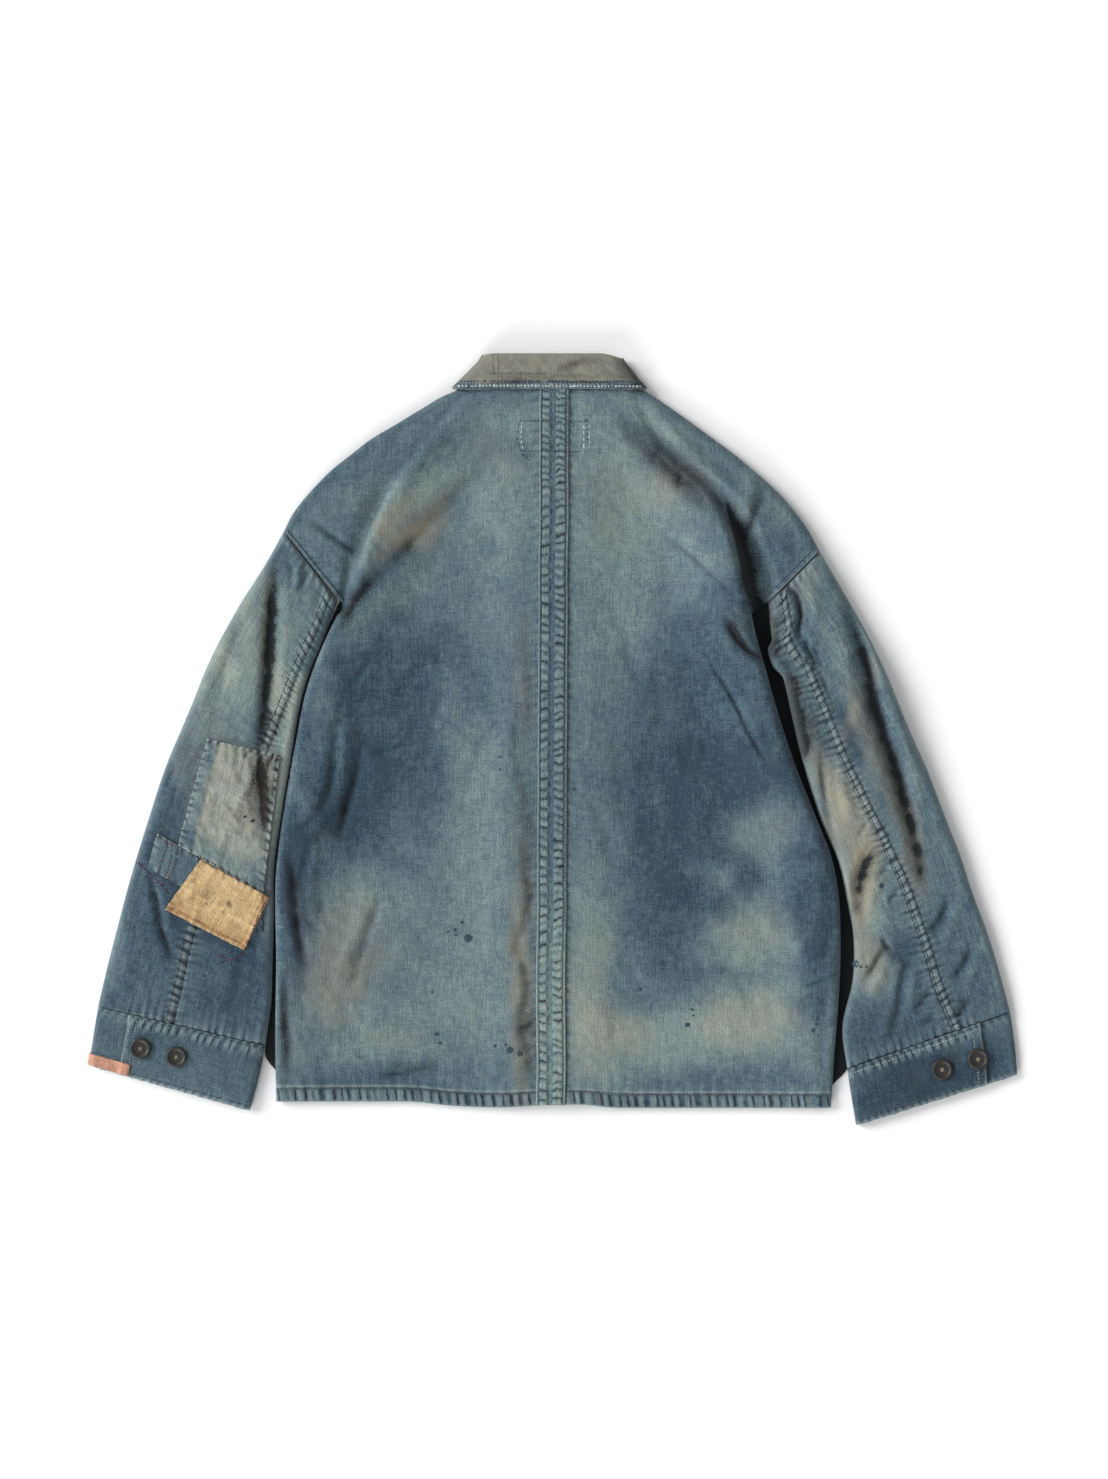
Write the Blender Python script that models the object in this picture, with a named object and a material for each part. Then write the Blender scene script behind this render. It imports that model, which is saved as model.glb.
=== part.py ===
"""Patched indigo work jacket, laid flat with its back up.

The jacket lies on the XY plane: +Y runs from the hem to the collar, +X to the wearer's right, and +Z out of
the back. Lengths below are in millimetres, and MM turns them into metres when a mesh is made.

Each piece of cloth is a grid of points on its outer face, thickened inwards by a Solidify modifier. The two
fronts lie flat on the surface. The back lies over them and rolls down onto them at the side folds and at the
shoulders. Each sleeve is a flattened tube in two pieces, joined on top by the elbow seam.
"""

import math

import bmesh
import bpy
from mathutils import Vector

MM = 0.001

# Driving sizes
CLOTH = 1.5  # one layer of heavy indigo cotton
BAND = 2.0  # folded double: collar and cuffs
PATCH = 1.0  # thin mending cloth
SEAM_GAP = 0.3  # clearance between pieces that are sewn together
FLAT_TOP = 6.0  # outer height of the back where it lies flat on the fronts
CENTRE_TOP = 10.5  # outer height over the buttoned front edges
NECK_TOP = 11.5  # outer height at the back neck seam
BUTTON_WIDE = 20.0
BUTTON_THICK = 3.6
LAP = 20.0  # how far each front passes the centre line
STRIP_HALF = 14.0  # half the width of the strip that covers the centre back seam
ARMHOLE_Y = 132.0  # height on the back where the armhole seam runs in under the side fold
TOP_Y = 338.0  # back neck seam
NECK_DROP = 76.0  # how much lower the front neck is than the back neck
NECK_OUT = 76.0  # half the width of the neck

# Rows of the body from hem to neck. The last nine start at the armhole.
BODY_ROWS = [-345, -316, -280, -240, -200, -160, -120, -80, -40, 0, 36, 70, 102,
             132, 158, 184, 210, 235, 260, 285, 311, 338]
FIRST_SHOULDER_ROW = BODY_ROWS.index(ARMHOLE_Y)

# Side fold of the back, hem to neck: height along the body, distance out from the centre line, outer height
# of the crest of the fold, outer height at its foot, and how far the foot runs on past the fold. Below the
# armhole the foot turns in under the fold instead. Above it the fold runs in over the shoulder blade, with a
# valley beside it, and fades out at the neck.
SIDE_FOLD = {
    "left": [
        # y, out, crest, foot, runs on
        (-346, 262, 8, 1.8, -6), (-300, 263, 10, 1.8, -6), (-212, 262, 13, 1.8, -6), (-124, 262, 15, 1.8, -6),
        (-57, 253, 15, 1.8, -6), (0, 243, 16, 1.8, -6), (48, 233, 17, 1.8, -6), (84, 220, 19, 1.8, -6),
        (102, 212, 20, 2.2, -4), (132, 197, 21, 6, 3), (190, 180, 22, 10, 3), (240, 155, 20, 11, 3),
        (288, 115, 15, 11, 3), (338, 74, 11.5, 10.5, 3),
    ],
    "right": [
        (-346, 264, 8, 1.8, -6), (-300, 267, 11, 1.8, -6), (-250, 271, 14, 1.8, -6), (-190, 273, 16, 1.8, -6),
        (-146, 271, 17, 1.8, -6), (-113, 265, 18, 1.8, -6), (-74, 250, 19, 1.8, -6), (-21, 229, 20, 1.8, -6),
        (28, 213, 21, 1.8, -6), (70, 201, 23, 1.8, -6), (102, 192, 24, 2, -4), (132, 186, 24, 3.5, 18),
        (190, 173, 23, 4.5, 14), (216, 163, 21, 6, 7), (240, 148, 19, 8, 3), (270, 112, 16, 10, 3),
        (338, 74, 11.5, 10.5, 3),
    ],
}

# Shoulder of the back, from the armhole seam up to the neck, one row for each body row from ARMHOLE_Y: where
# the section meets the outline of the shoulder, its height there, and the height of its ridge.
SHOULDER = {
    "left": [
        # out, y, height, ridge
        (254, 199, 12, 12), (240, 222, 12, 12), (222, 243, 12, 12), (203, 262, 12, 12), (180, 280, 12, 12),
        (155, 296, 12, 12), (130, 312, 12, 12), (106, 325, 11, 11), (84, 334, 10.5, 10.5),
    ],
    "right": [
        (249, 180, 14, 19), (238, 200, 14, 20), (224, 222, 14, 20), (208, 240, 14, 18), (187, 256, 13, 15),
        (162, 276, 13, 13), (137, 296, 12, 12), (112, 314, 11, 11), (84, 333, 10.5, 10.5),
    ],
}

# Sleeves from the armhole seam to the cuff seam: outer fold, inner fold, outer height of the tube, and where
# the elbow seam crosses, as a share of the width from the outer fold.
SLEEVE = {
    "left": [
        # outer out, outer y, inner out, inner y, height, seam
        (254, 199, 203.5, 132, 12, 0.89), (273, 165, 218, 97, 14, 0.89), (297, 127, 233, 62, 15, 0.88),
        (322.5, 80, 242, 28, 15, 0.85), (345, 26, 249, -14, 15, 0.77), (366.5, -25, 257.5, -64, 14, 0.70),
        (385, -81, 265.5, -120, 13, 0.61), (400, -130, 266, -168, 12, 0.53),
        (412, -175, 267.5, -214, 11, 0.48), (422, -214, 269, -252, 10, 0.465),
        (431, -252, 274, -289, 9.5, 0.455),
    ],
    "right": [
        (249, 180, 206, 132, 17, 0.80), (272, 140, 210, 92, 18, 0.79), (296, 101, 220, 60, 18, 0.74),
        (321, 58, 230, 20, 18, 0.69), (341, 15, 241, -20, 18, 0.66), (361, -28, 253.5, -70, 17, 0.61),
        (378.5, -76, 273, -118, 16, 0.58), (390, -112, 281, -155, 15, 0.53),
        (401, -147, 287, -190, 14, 0.49), (413, -180, 287, -228, 12, 0.45),
        (424, -217, 281, -270, 11, 0.39), (434, -257, 282, -311, 9.5, 0.345),
    ],
}
UNDER_SEAM = 0.45  # the sleeve's front seam, under the tube, as a share of the width

# Cuffs, from the sleeve seam to the open edge: outer and inner corner. TAB_EDGE is where the buttoned end of
# the band stops on top, and UNDERLAP where the other end stops beneath it, as shares of the width.
CUFF = {
    "left": [
        # outer out, outer y, inner out, inner y
        (431, -252, 274, -289), (434, -270, 278, -309), (437, -289, 283, -330), (440, -308, 289, -351),
    ],
    "right": [
        (434, -257, 282, -311), (437, -277, 284, -329), (439.5, -297, 286, -347), (441, -317, 288, -365),
    ],
}
CUFF_HEIGHT = 9.5
TAB_EDGE = 0.19
UNDERLAP = 0.44
CUFF_BUTTONS = {"left": [(390, -292), (356, -300)], "right": [(403, -302), (369, -312)]}
FRONT_BUTTONS_Y = [232, 122, 12, -98, -208]

# Section of a rolled fold, from its crest round to where it turns under: inset from the widest line, as a
# share of the roll's width, and height, as a share of the way up from the foot.
ROLL = [(1.0, 1.0), (0.45, 0.9), (0.12, 0.68), (0.0, 0.42), (0.12, 0.14), (0.6, 0.0)]
ROLL_WIDE = 10.0
PUFF = 70.0  # width over which the back rises to the crest of its side fold

SIGN = {"left": -1, "right": 1}


def eased(share):
    """0 to 1 with soft ends."""
    share = min(1.0, max(0.0, share))
    return share * share * (3 - 2 * share)


def mix(a, b, share):
    return a + (b - a) * share


def read(table, at):
    """The other columns of a table at that value of its first column, eased between rows."""
    if at <= table[0][0]:
        return table[0][1:]
    for low, high in zip(table, table[1:]):
        if at <= high[0]:
            share = (at - low[0]) / (high[0] - low[0])
            return tuple(mix(a, b, share) for a, b in zip(low[1:], high[1:]))
    return table[-1][1:]


def front_lift(out, y):
    """How far the fronts are held off the surface, by their buttons and by the collar folded under them."""
    over_buttons = eased((62 - out) / 36) * (BUTTON_THICK + 2 * SEAM_GAP)
    over_collar = eased((y - 196) / 34) * eased((148 - out) / 36) * (BAND + 2 * SEAM_GAP)
    return max(over_buttons, over_collar)


def back_height(side, out, y):
    """Outer height of the back between the centre line and the crest of the side fold."""
    edge, crest, _, _ = read(SIDE_FOLD[side], y)
    flat = mix(FLAT_TOP, CENTRE_TOP, eased((75 - out) / 45))
    flat = mix(flat, max(flat, NECK_TOP), eased((y - 215) / 90))
    return mix(flat, crest, eased(1 - (edge - ROLL_WIDE - out) / PUFF))


def neck_line(out):
    """How far the front neck lies below the back neck."""
    return NECK_DROP * math.sqrt(max(0.0, 1 - (out / NECK_OUT) ** 2))


def hem_dip(x):
    """The back hem hangs a little lower in two soft waves."""
    return 3 * math.exp(-(((x + 60) / 45) ** 2)) + 3 * math.exp(-(((x - 85) / 60) ** 2))


def fabric(name, colour, roughness, metallic=0.0):
    material = bpy.data.materials.new(name)
    material.use_nodes = True
    shader = material.node_tree.nodes["Principled BSDF"]
    shader.inputs["Base Color"].default_value = (*colour, 1)
    shader.inputs["Roughness"].default_value = roughness
    shader.inputs["Metallic"].default_value = metallic
    return material


def sheet(name, grids, material, thickness=CLOTH, lift=0.0):
    """One piece of cloth from grids of points on its outer face, wound so that the face looks outwards. A
    piece that lies on a panel is made from points of that panel and lifted along its normals."""
    mesh = bmesh.new()
    for grid in grids:
        rows = [[mesh.verts.new(Vector(point) * MM) for point in row] for row in grid]
        for low, high in zip(rows, rows[1:]):
            for a, b, c, d in zip(low, low[1:], high[1:], high):
                mesh.faces.new((a, b, c, d))
    bmesh.ops.remove_doubles(mesh, verts=mesh.verts, dist=0.01 * MM)
    bmesh.ops.triangulate(mesh, faces=mesh.faces, quad_method="SHORT_EDGE")
    mesh.normal_update()
    outwards = [vert.normal.copy() for vert in mesh.verts]
    for vert, normal in zip(mesh.verts, outwards):
        vert.co += normal * lift * MM
    data = bpy.data.meshes.new(name)
    mesh.to_mesh(data)
    mesh.free()
    data.materials.append(material)
    data.shade_smooth()
    piece = bpy.data.objects.new(name, data)
    bpy.context.scene.collection.objects.link(piece)
    wall = piece.modifiers.new("wall", "SOLIDIFY")
    wall.thickness = thickness * MM
    wall.offset = -1
    return piece


def turned(grid):
    """The same grid seen from the other side."""
    return [row[::-1] for row in grid]


def rolled(points, widest, inward, height, low, wide=ROLL_WIDE, profile=ROLL):
    """Adds the section of a fold to a row. widest is its outermost (x, y), inward the way back from it."""
    for inset, up in profile:
        points.append((
            widest[0] + inward[0] * inset * wide,
            widest[1] + inward[1] * inset * wide,
            mix(low, height, up),
        ))


def back_main(side):
    """The back from the centre seam to the foot of the side fold, hem to neck."""
    sign = SIGN[side]
    grid = []
    for y in BODY_ROWS:
        edge, crest, foot, runs_on = read(SIDE_FOLD[side], y)
        open_fold = eased((runs_on + 6) / 9)
        columns = [SEAM_GAP / 2, STRIP_HALF, 48, 84]
        inner = edge - ROLL_WIDE
        columns += [mix(columns[-1], inner, share) for share in (0.3, 0.58, 0.82)]
        if inner < 150:
            columns = [SEAM_GAP / 2, STRIP_HALF] + [mix(STRIP_HALF, inner, k / 6) for k in range(1, 6)]
        row = []
        for out in columns:
            dip = hem_dip(sign * out) * eased((-250 - y) / 80)
            row.append((sign * out, y - dip, back_height(side, out, y)))
        for inset, up in ROLL:
            if up < 0.2:
                inset = mix(inset, -0.08, open_fold)
            out = edge - (inset * ROLL_WIDE if up else -runs_on)
            dip = hem_dip(sign * out) * eased((-250 - y) / 80)
            row.append((sign * out, y - dip, mix(foot, crest, up)))
        grid.append(row)
    return grid


def shoulder(side, main):
    """The back outside the side fold, in sections that fan from the armhole seam up to the neck."""
    sign = SIGN[side]
    grid = []
    for row, (out, y, height, ridge) in zip(main[FIRST_SHOULDER_ROW:], SHOULDER[side]):
        foot = row[-1]
        width = math.hypot(sign * out - foot[0], y - foot[1])
        inward = ((foot[0] - sign * out) / width, (foot[1] - y) / width)
        wide = min(ROLL_WIDE, 0.4 * width)
        low = front_lift(out - ROLL_WIDE, y) + CLOTH + SEAM_GAP
        points = [foot]
        for share, level in ((0.22, ridge), (0.5, mix(ridge, height, 0.6))):
            reach = mix(width, wide, share)
            points.append((sign * out + inward[0] * reach, y + inward[1] * reach, level))
        rolled(points, (sign * out, y), inward, height, low, wide)
        grid.append(points)
    return grid


def front_main(side):
    """A front from its buttoned edge to the line under the side fold. The right one laps inside the left."""
    sign = SIGN[side]
    sleeve_edge = [(inner_y, inner_out) for _, _, inner_out, inner_y, _, _ in reversed(SLEEVE[side])]
    grid = []
    for y in BODY_ROWS:
        edge, _, _, runs_on = read(SIDE_FOLD[side], y)
        foot = edge + max(runs_on, -2.5)
        if ARMHOLE_Y > y > -60:
            foot = max(foot, read(sleeve_edge, y)[0] - 2)
        columns = [-LAP, -8, 8, LAP + 3, LAP + 24, 70]
        columns += [mix(70, foot, k / 4) for k in range(1, 5)]
        if foot < 110:
            columns = [-LAP, -8, 8, LAP + 3] + [mix(LAP + 3, foot, k / 6) for k in range(1, 7)]
        row = []
        for out in columns:
            drop = neck_line(out) * eased((y - 150) / 188)
            level = front_lift(abs(out), y - drop)
            if side == "right":
                level += (CLOTH + SEAM_GAP) * eased((LAP + 22 - out) / 18)
            row.append((sign * out, y - drop, level))
        grid.append(row)
    return grid


def front_shoulder(side, main):
    """The front outside the side fold, out to the armhole seam and the shoulder."""
    sign = SIGN[side]
    grid = []
    for row, (out, y, _, _) in zip(main[FIRST_SHOULDER_ROW:], SHOULDER[side]):
        foot = row[-1]
        width = math.hypot(sign * out - foot[0], y - foot[1])
        points = []
        for share in (0, 0.35, 0.7, 1 - min(3.0, 0.2 * width) / width):
            x, along = mix(foot[0], sign * out, share), mix(foot[1], y, share)
            points.append((x, along, front_lift(abs(x), along) if share else foot[2]))
        grid.append(points)
    return grid


def moved(point, direction, by):
    return (point[0] + direction[0] * by, point[1] + direction[1] * by, point[2])


def sleeve_piece(side, inner):
    """One of the two pieces of a sleeve: the outer one goes round the outer fold, the under one round the
    inner fold. Both end at the elbow seam on top and at the front seam beneath."""
    sign = SIGN[side]
    grid = []
    for number, (outer_out, outer_y, inner_out, inner_y, height, seam) in enumerate(SLEEVE[side]):
        outer, inside = (sign * outer_out, outer_y), (sign * inner_out, inner_y)
        width = math.dist(outer, inside)
        across = ((inside[0] - outer[0]) / width, (inside[1] - outer[1]) / width)
        wide = min(ROLL_WIDE, 0.6 * height)
        half_gap = 0.65 * SEAM_GAP / width
        # Shares of the width, from the outer fold, of the elbow seam, the crest, the foot and the front seam.
        if inner:
            fold, inward = inside, (-across[0], -across[1])
            top_seam, front_seam = seam + half_gap, UNDER_SEAM + half_gap
            crest, foot = 1 - wide / width, 1 - 0.6 * wide / width
        else:
            fold, inward = outer, across
            top_seam, front_seam = seam - half_gap, UNDER_SEAM - half_gap
            crest, foot = wide / width, 0.6 * wide / width
        steps = 2 if inner else 3
        shares = [(mix(top_seam, crest, k / steps), height) for k in range(steps)]
        points = [(mix(outer[0], inside[0], k), mix(outer[1], inside[1], k), up) for k, up in shares]
        rolled(points, fold, inward, height, 0, wide)
        for share in (mix(foot, front_seam, 0.5), front_seam):
            points.append((mix(outer[0], inside[0], share), mix(outer[1], inside[1], share), 0))
        if number == 0:
            # The first section keeps clear of the body.
            points = [moved(point, (across[1] * sign, -across[0] * sign), -3 * SEAM_GAP) for point in points]
        grid.append(points)
    return grid


def cuff(side):
    """A doubled band wound once round the wrist. Its buttoned end lies on top of the other end."""
    sign = SIGN[side]
    grid = []
    for number, (outer_out, outer_y, inner_out, inner_y) in enumerate(CUFF[side]):
        outer, inside = (sign * outer_out, outer_y), (sign * inner_out, inner_y)
        width = math.dist(outer, inside)
        across = ((inside[0] - outer[0]) / width, (inside[1] - outer[1]) / width)
        wide = 0.6 * CUFF_HEIGHT
        step = BAND + SEAM_GAP

        def at(share, height):
            return (mix(outer[0], inside[0], share), mix(outer[1], inside[1], share), height)

        points = [at(share, CUFF_HEIGHT) for share in (TAB_EDGE, 0.38, 0.62, 0.82)]
        rolled(points, inside, (-across[0], -across[1]), CUFF_HEIGHT, 0, wide)
        points += [at(0.66, 0), at(0.34, 0)]
        outer_roll = []
        rolled(outer_roll, outer, across, CUFF_HEIGHT - step, 0, wide)
        points += outer_roll[::-1]
        points += [at(0.25, CUFF_HEIGHT - step), at(UNDERLAP, CUFF_HEIGHT - step)]
        if number == 0:
            points = [moved(point, (across[1] * sign, -across[0] * sign), -2 * SEAM_GAP) for point in points]
        grid.append(points)
    return grid


# Collar from the centre back to the right front end: its edge, its fold, its neck seam, the outer height of
# the fall and the outer height of the stand. The fall lies on the back, turns down outside the shoulder and
# lies under the front. The left side mirrors it.
COLLAR = [
    # edge x, edge y, fold x, fold y, seam x, seam y, fall, stand
    (0, 332, 0, 366, 0, 338.5, 16.5, 9.4), (30, 332, 20, 366, 26, 338.5, 16.5, 9.4),
    (58, 331.5, 39, 366, 52, 338.5, 16.5, 9.4), (80, 331, 55, 366, 72, 338.5, 16.3, 9.2),
    (91, 332, 61, 365.5, 79, 339.5, 13.5, 8.2), (95.5, 334, 64.5, 365, 81, 340.5, 8.2, 7.2),
    (95, 334, 64.5, 365, 81, 340.5, 3, 6.8), (89, 331, 62, 364, 78, 340, 0, 6.6),
]


def collar():
    """A turned-down collar round the flattened neck."""
    stations = list(COLLAR)
    for k in range(1, 8):
        share = k / 7
        out = 78 * math.cos(share * math.pi / 2) + 2
        seam_y = TOP_Y + 2 - neck_line(min(out, NECK_OUT - 0.5))
        stations.append((
            mix(86, 66, share), mix(326, 236, share), mix(61, 2.5, eased(share)),
            363 - 74 * math.sin(share * math.pi / 2), out, seam_y, 0, 6.6,
        ))
    rows = []
    for edge_x, edge_y, fold_x, fold_y, seam_x, seam_y, fall, stand in stations:
        edge, fold, seam = (edge_x, edge_y), (fold_x, fold_y), (seam_x, seam_y)

        def between(a, b, share):
            return (mix(a[0], b[0], share), mix(a[1], b[1], share))

        fall_turn = between(fold, edge, 4 / math.dist(fold, edge))
        stand_turn = between(fold, seam, 4 / math.dist(fold, seam))
        rows.append([
            (*edge, fall), (*between(edge, fold, 0.35), fall), (*between(edge, fold, 0.7), fall),
            (*fall_turn, fall), (*fold, mix(fall, stand, 0.5)), (*stand_turn, stand),
            (*between(fold, seam, 0.6), stand), (*seam, stand),
        ])
    other = [[(-x, y, z) for x, y, z in row] for row in rows[:0:-1]]
    return other + rows


def sleeve_point(side, along, share):
    """A point of the flat top of a sleeve: along counts sections, share runs from the outer fold inwards."""
    low = min(int(along), len(SLEEVE[side]) - 2)
    row = [mix(a, b, along - low) for a, b in zip(SLEEVE[side][low], SLEEVE[side][low + 1])]
    outer_out, outer_y, inner_out, inner_y, height, _ = row
    return (SIGN[side] * mix(outer_out, inner_out, share), mix(outer_y, inner_y, share), height)


# Mending on the left sleeve: for each corner, sections down from the armhole and share of the width. Corners
# run from the upper outer one, by the inner side, to the lower outer one.
MENDING = {
    "elbow_patch_left": [(4.30, 0.25), (4.10, 0.90), (6.60, 0.925), (6.15, 0.27)],
    "mending_band_left": [(6.06, 0.10), (6.63, 0.925), (7.35, 0.925), (6.72, 0.10)],
    "tan_patch_left": [(6.28, 0.43), (6.65, 0.925), (7.82, 0.81), (7.42, 0.27)],
}


def lying_patch(side, corners, rows=6, columns=6):
    """A four-cornered patch made from points of the sleeve that it lies on."""
    grid = []
    for r in range(rows + 1):
        row = []
        for c in range(columns + 1):
            upper = [mix(a, b, c / columns) for a, b in zip(corners[0], corners[1])]
            lower = [mix(a, b, c / columns) for a, b in zip(corners[3], corners[2])]
            along, share = (mix(a, b, r / rows) for a, b in zip(upper, lower))
            row.append(sleeve_point(side, along, share))
        grid.append(row)
    return grid


def cuff_patch(side):
    """Mending over the outer corner of the cuff's edge: round the fold, then up over the buttoned end."""
    sign = SIGN[side]
    step = BAND + SEAM_GAP
    wide = 0.6 * CUFF_HEIGHT
    upper, lower = CUFF[side][-2:]
    grid = []
    for down in (0.42, 0.7, 0.97):
        row = [mix(a, b, down) for a, b in zip(upper, lower)]
        outer, inside = (sign * row[0], row[1]), (sign * row[2], row[3])
        width = math.dist(outer, inside)
        points = []
        flat = CUFF_HEIGHT - step
        across = ((inside[0] - outer[0]) / width, (inside[1] - outer[1]) / width)
        rolled(points, outer, across, flat, 0, wide)
        points = points[3::-1]
        for share, height in ((TAB_EDGE - 0.04, flat), (TAB_EDGE - 0.012, CUFF_HEIGHT), (0.25, CUFF_HEIGHT)):
            points.append((mix(outer[0], inside[0], share), mix(outer[1], inside[1], share), height))
        grid.append(points)
    return grid


def button(name, x, y, base, facing, material):
    """A turned button with a raised rim and a dished face. facing is 1 for face up and -1 for face down."""
    radius = BUTTON_WIDE / 2
    profile = [
        (0, 0), (0.8 * radius, 0), (radius, 0.3 * BUTTON_THICK), (radius, 0.7 * BUTTON_THICK),
        (0.9 * radius, BUTTON_THICK), (0.74 * radius, BUTTON_THICK), (0.6 * radius, 0.7 * BUTTON_THICK),
        (0, 0.7 * BUTTON_THICK),
    ]
    mesh = bmesh.new()
    points = [mesh.verts.new(Vector((out, 0, up)) * MM) for out, up in profile]
    edges = [mesh.edges.new(pair) for pair in zip(points, points[1:])]
    bmesh.ops.spin(mesh, geom=points + edges, cent=(0, 0, 0), axis=(0, 0, 1), angle=2 * math.pi, steps=16)
    bmesh.ops.remove_doubles(mesh, verts=mesh.verts, dist=0.02 * MM)
    bmesh.ops.recalc_face_normals(mesh, faces=mesh.faces)
    data = bpy.data.meshes.new(name)
    mesh.to_mesh(data)
    mesh.free()
    data.materials.append(material)
    data.shade_smooth()
    data.set_sharp_from_angle(angle=math.radians(40))
    piece = bpy.data.objects.new(name, data)
    bpy.context.scene.collection.objects.link(piece)
    piece.location = Vector((x, y, base)) * MM
    if facing < 0:
        piece.rotation_euler = (math.pi, 0, 0)
    return piece


def main():
    for old in list(bpy.data.objects):
        bpy.data.objects.remove(old)

    indigo = fabric("faded_indigo_cotton", (0.13, 0.2, 0.25), 0.9)
    collar_cloth = fabric("faded_collar_cotton", (0.2, 0.2, 0.17), 0.9)
    pale = fabric("pale_mending_cotton", (0.27, 0.29, 0.26), 0.9)
    tan = fabric("tan_mending_cotton", (0.46, 0.33, 0.16), 0.9)
    rose = fabric("rose_mending_cotton", (0.5, 0.24, 0.16), 0.95)
    horn = fabric("dark_button", (0.035, 0.03, 0.028), 0.45)

    for side in ("left", "right"):
        back = back_main(side)
        fan = shoulder(side, back)
        front = front_main(side)
        front_fan = front_shoulder(side, front)
        grids = [back, fan] if side == "right" else [turned(back), turned(fan)]
        sheet(f"back_{side}", grids, indigo)
        # The fronts face down, so they are wound the other way.
        grids = [turned(front), turned(front_fan)] if side == "right" else [front, front_fan]
        sheet(f"front_{side}", grids, indigo)
        for name, inner in (("outer_sleeve", False), ("under_sleeve", True)):
            grid = sleeve_piece(side, inner)
            outwards = (side == "left") != inner
            sheet(f"{name}_{side}", [grid if outwards else turned(grid)], indigo)
        grid = cuff(side)
        sheet(f"cuff_{side}", [turned(grid) if side == "left" else grid], indigo, BAND)
        for number, (out, y) in enumerate(CUFF_BUTTONS[side], 1):
            button(f"cuff_button_{side}_{number}", SIGN[side] * out, y, CUFF_HEIGHT + SEAM_GAP, 1, horn)

    strip = []
    for y in BODY_ROWS:
        dip = hem_dip(0) * eased((-250 - y) / 80)
        top = min(y - dip, TOP_Y)
        half = STRIP_HALF
        level = back_height("left", STRIP_HALF, y) + SEAM_GAP + PATCH
        strip.append([(x, top, level) for x in (-half, -SEAM_GAP / 2, SEAM_GAP / 2, half)])
    sheet("centre_back_strip", [strip], indigo, PATCH)

    sheet("collar", [turned(collar())], collar_cloth, BAND)

    lift = 1.5 * SEAM_GAP + PATCH
    for name, cloth, layers in (
        ("elbow_patch_left", pale, 1), ("mending_band_left", indigo, 1), ("tan_patch_left", tan, 2),
    ):
        sheet(name, [turned(lying_patch("left", MENDING[name]))], cloth, PATCH, layers * lift)
    sheet("cuff_patch_left", [turned(cuff_patch("left"))], rose, PATCH, lift)

    for number, y in enumerate(FRONT_BUTTONS_Y, 1):
        button(f"front_button_{number}", 0, y, BUTTON_THICK, -1, horn)


main()
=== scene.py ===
import math

import bpy
import numpy as np
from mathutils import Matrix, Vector
from mathutils.bvhtree import BVHTree


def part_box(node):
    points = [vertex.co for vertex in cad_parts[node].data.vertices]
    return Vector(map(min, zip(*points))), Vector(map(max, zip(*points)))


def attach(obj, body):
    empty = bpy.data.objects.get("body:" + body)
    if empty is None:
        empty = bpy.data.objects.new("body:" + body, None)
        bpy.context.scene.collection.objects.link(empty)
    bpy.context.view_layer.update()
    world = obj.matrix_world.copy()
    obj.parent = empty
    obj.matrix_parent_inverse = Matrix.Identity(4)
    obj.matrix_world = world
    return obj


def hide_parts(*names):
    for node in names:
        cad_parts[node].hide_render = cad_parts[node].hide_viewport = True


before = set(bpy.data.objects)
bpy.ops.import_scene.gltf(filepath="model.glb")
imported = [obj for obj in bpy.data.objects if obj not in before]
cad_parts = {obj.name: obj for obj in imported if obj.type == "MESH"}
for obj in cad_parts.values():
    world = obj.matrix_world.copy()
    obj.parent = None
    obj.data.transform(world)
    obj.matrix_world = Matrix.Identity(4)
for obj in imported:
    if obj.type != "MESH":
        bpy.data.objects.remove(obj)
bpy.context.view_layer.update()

# ------------------------------------------------------------ Back
# Two panels of indigo chambray, a plain weave with blue warp and pale weft, felled together down the centre.
# Each lies over its front and rolls down onto it at the side and the shoulder. Years of sun and washing have
# left deep blue only where it was folded away.
MM = 0.001
CLOTH = 1.5
SEAM_GAP = 0.3
SIGN = {"left": -1, "right": 1}
BACK_STEP = 2.4  # spacing of the points
TOP_Y = 338.0
HEM_Y = -345.0
FLAT_TOP = 6.6
CENTRE_TOP = 10.5
NECK_TOP = 11.5
ROLL_WIDE = 10.0
SIDE_ROLL = {"left": 6.5, "right": ROLL_WIDE}
PUFF = 70.0
BUTTON_LIFT = 4.2  # the buttoned front edges under the centre of the back
ARMHOLE_LAP = 1.1  # the back laps over the top of the sleeve
COLLAR_LIFT = 2.6  # the collar points under the fronts
LAP = 20.0  # the fronts run this far past the centre
HEM_WIDE = 13.0

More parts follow.
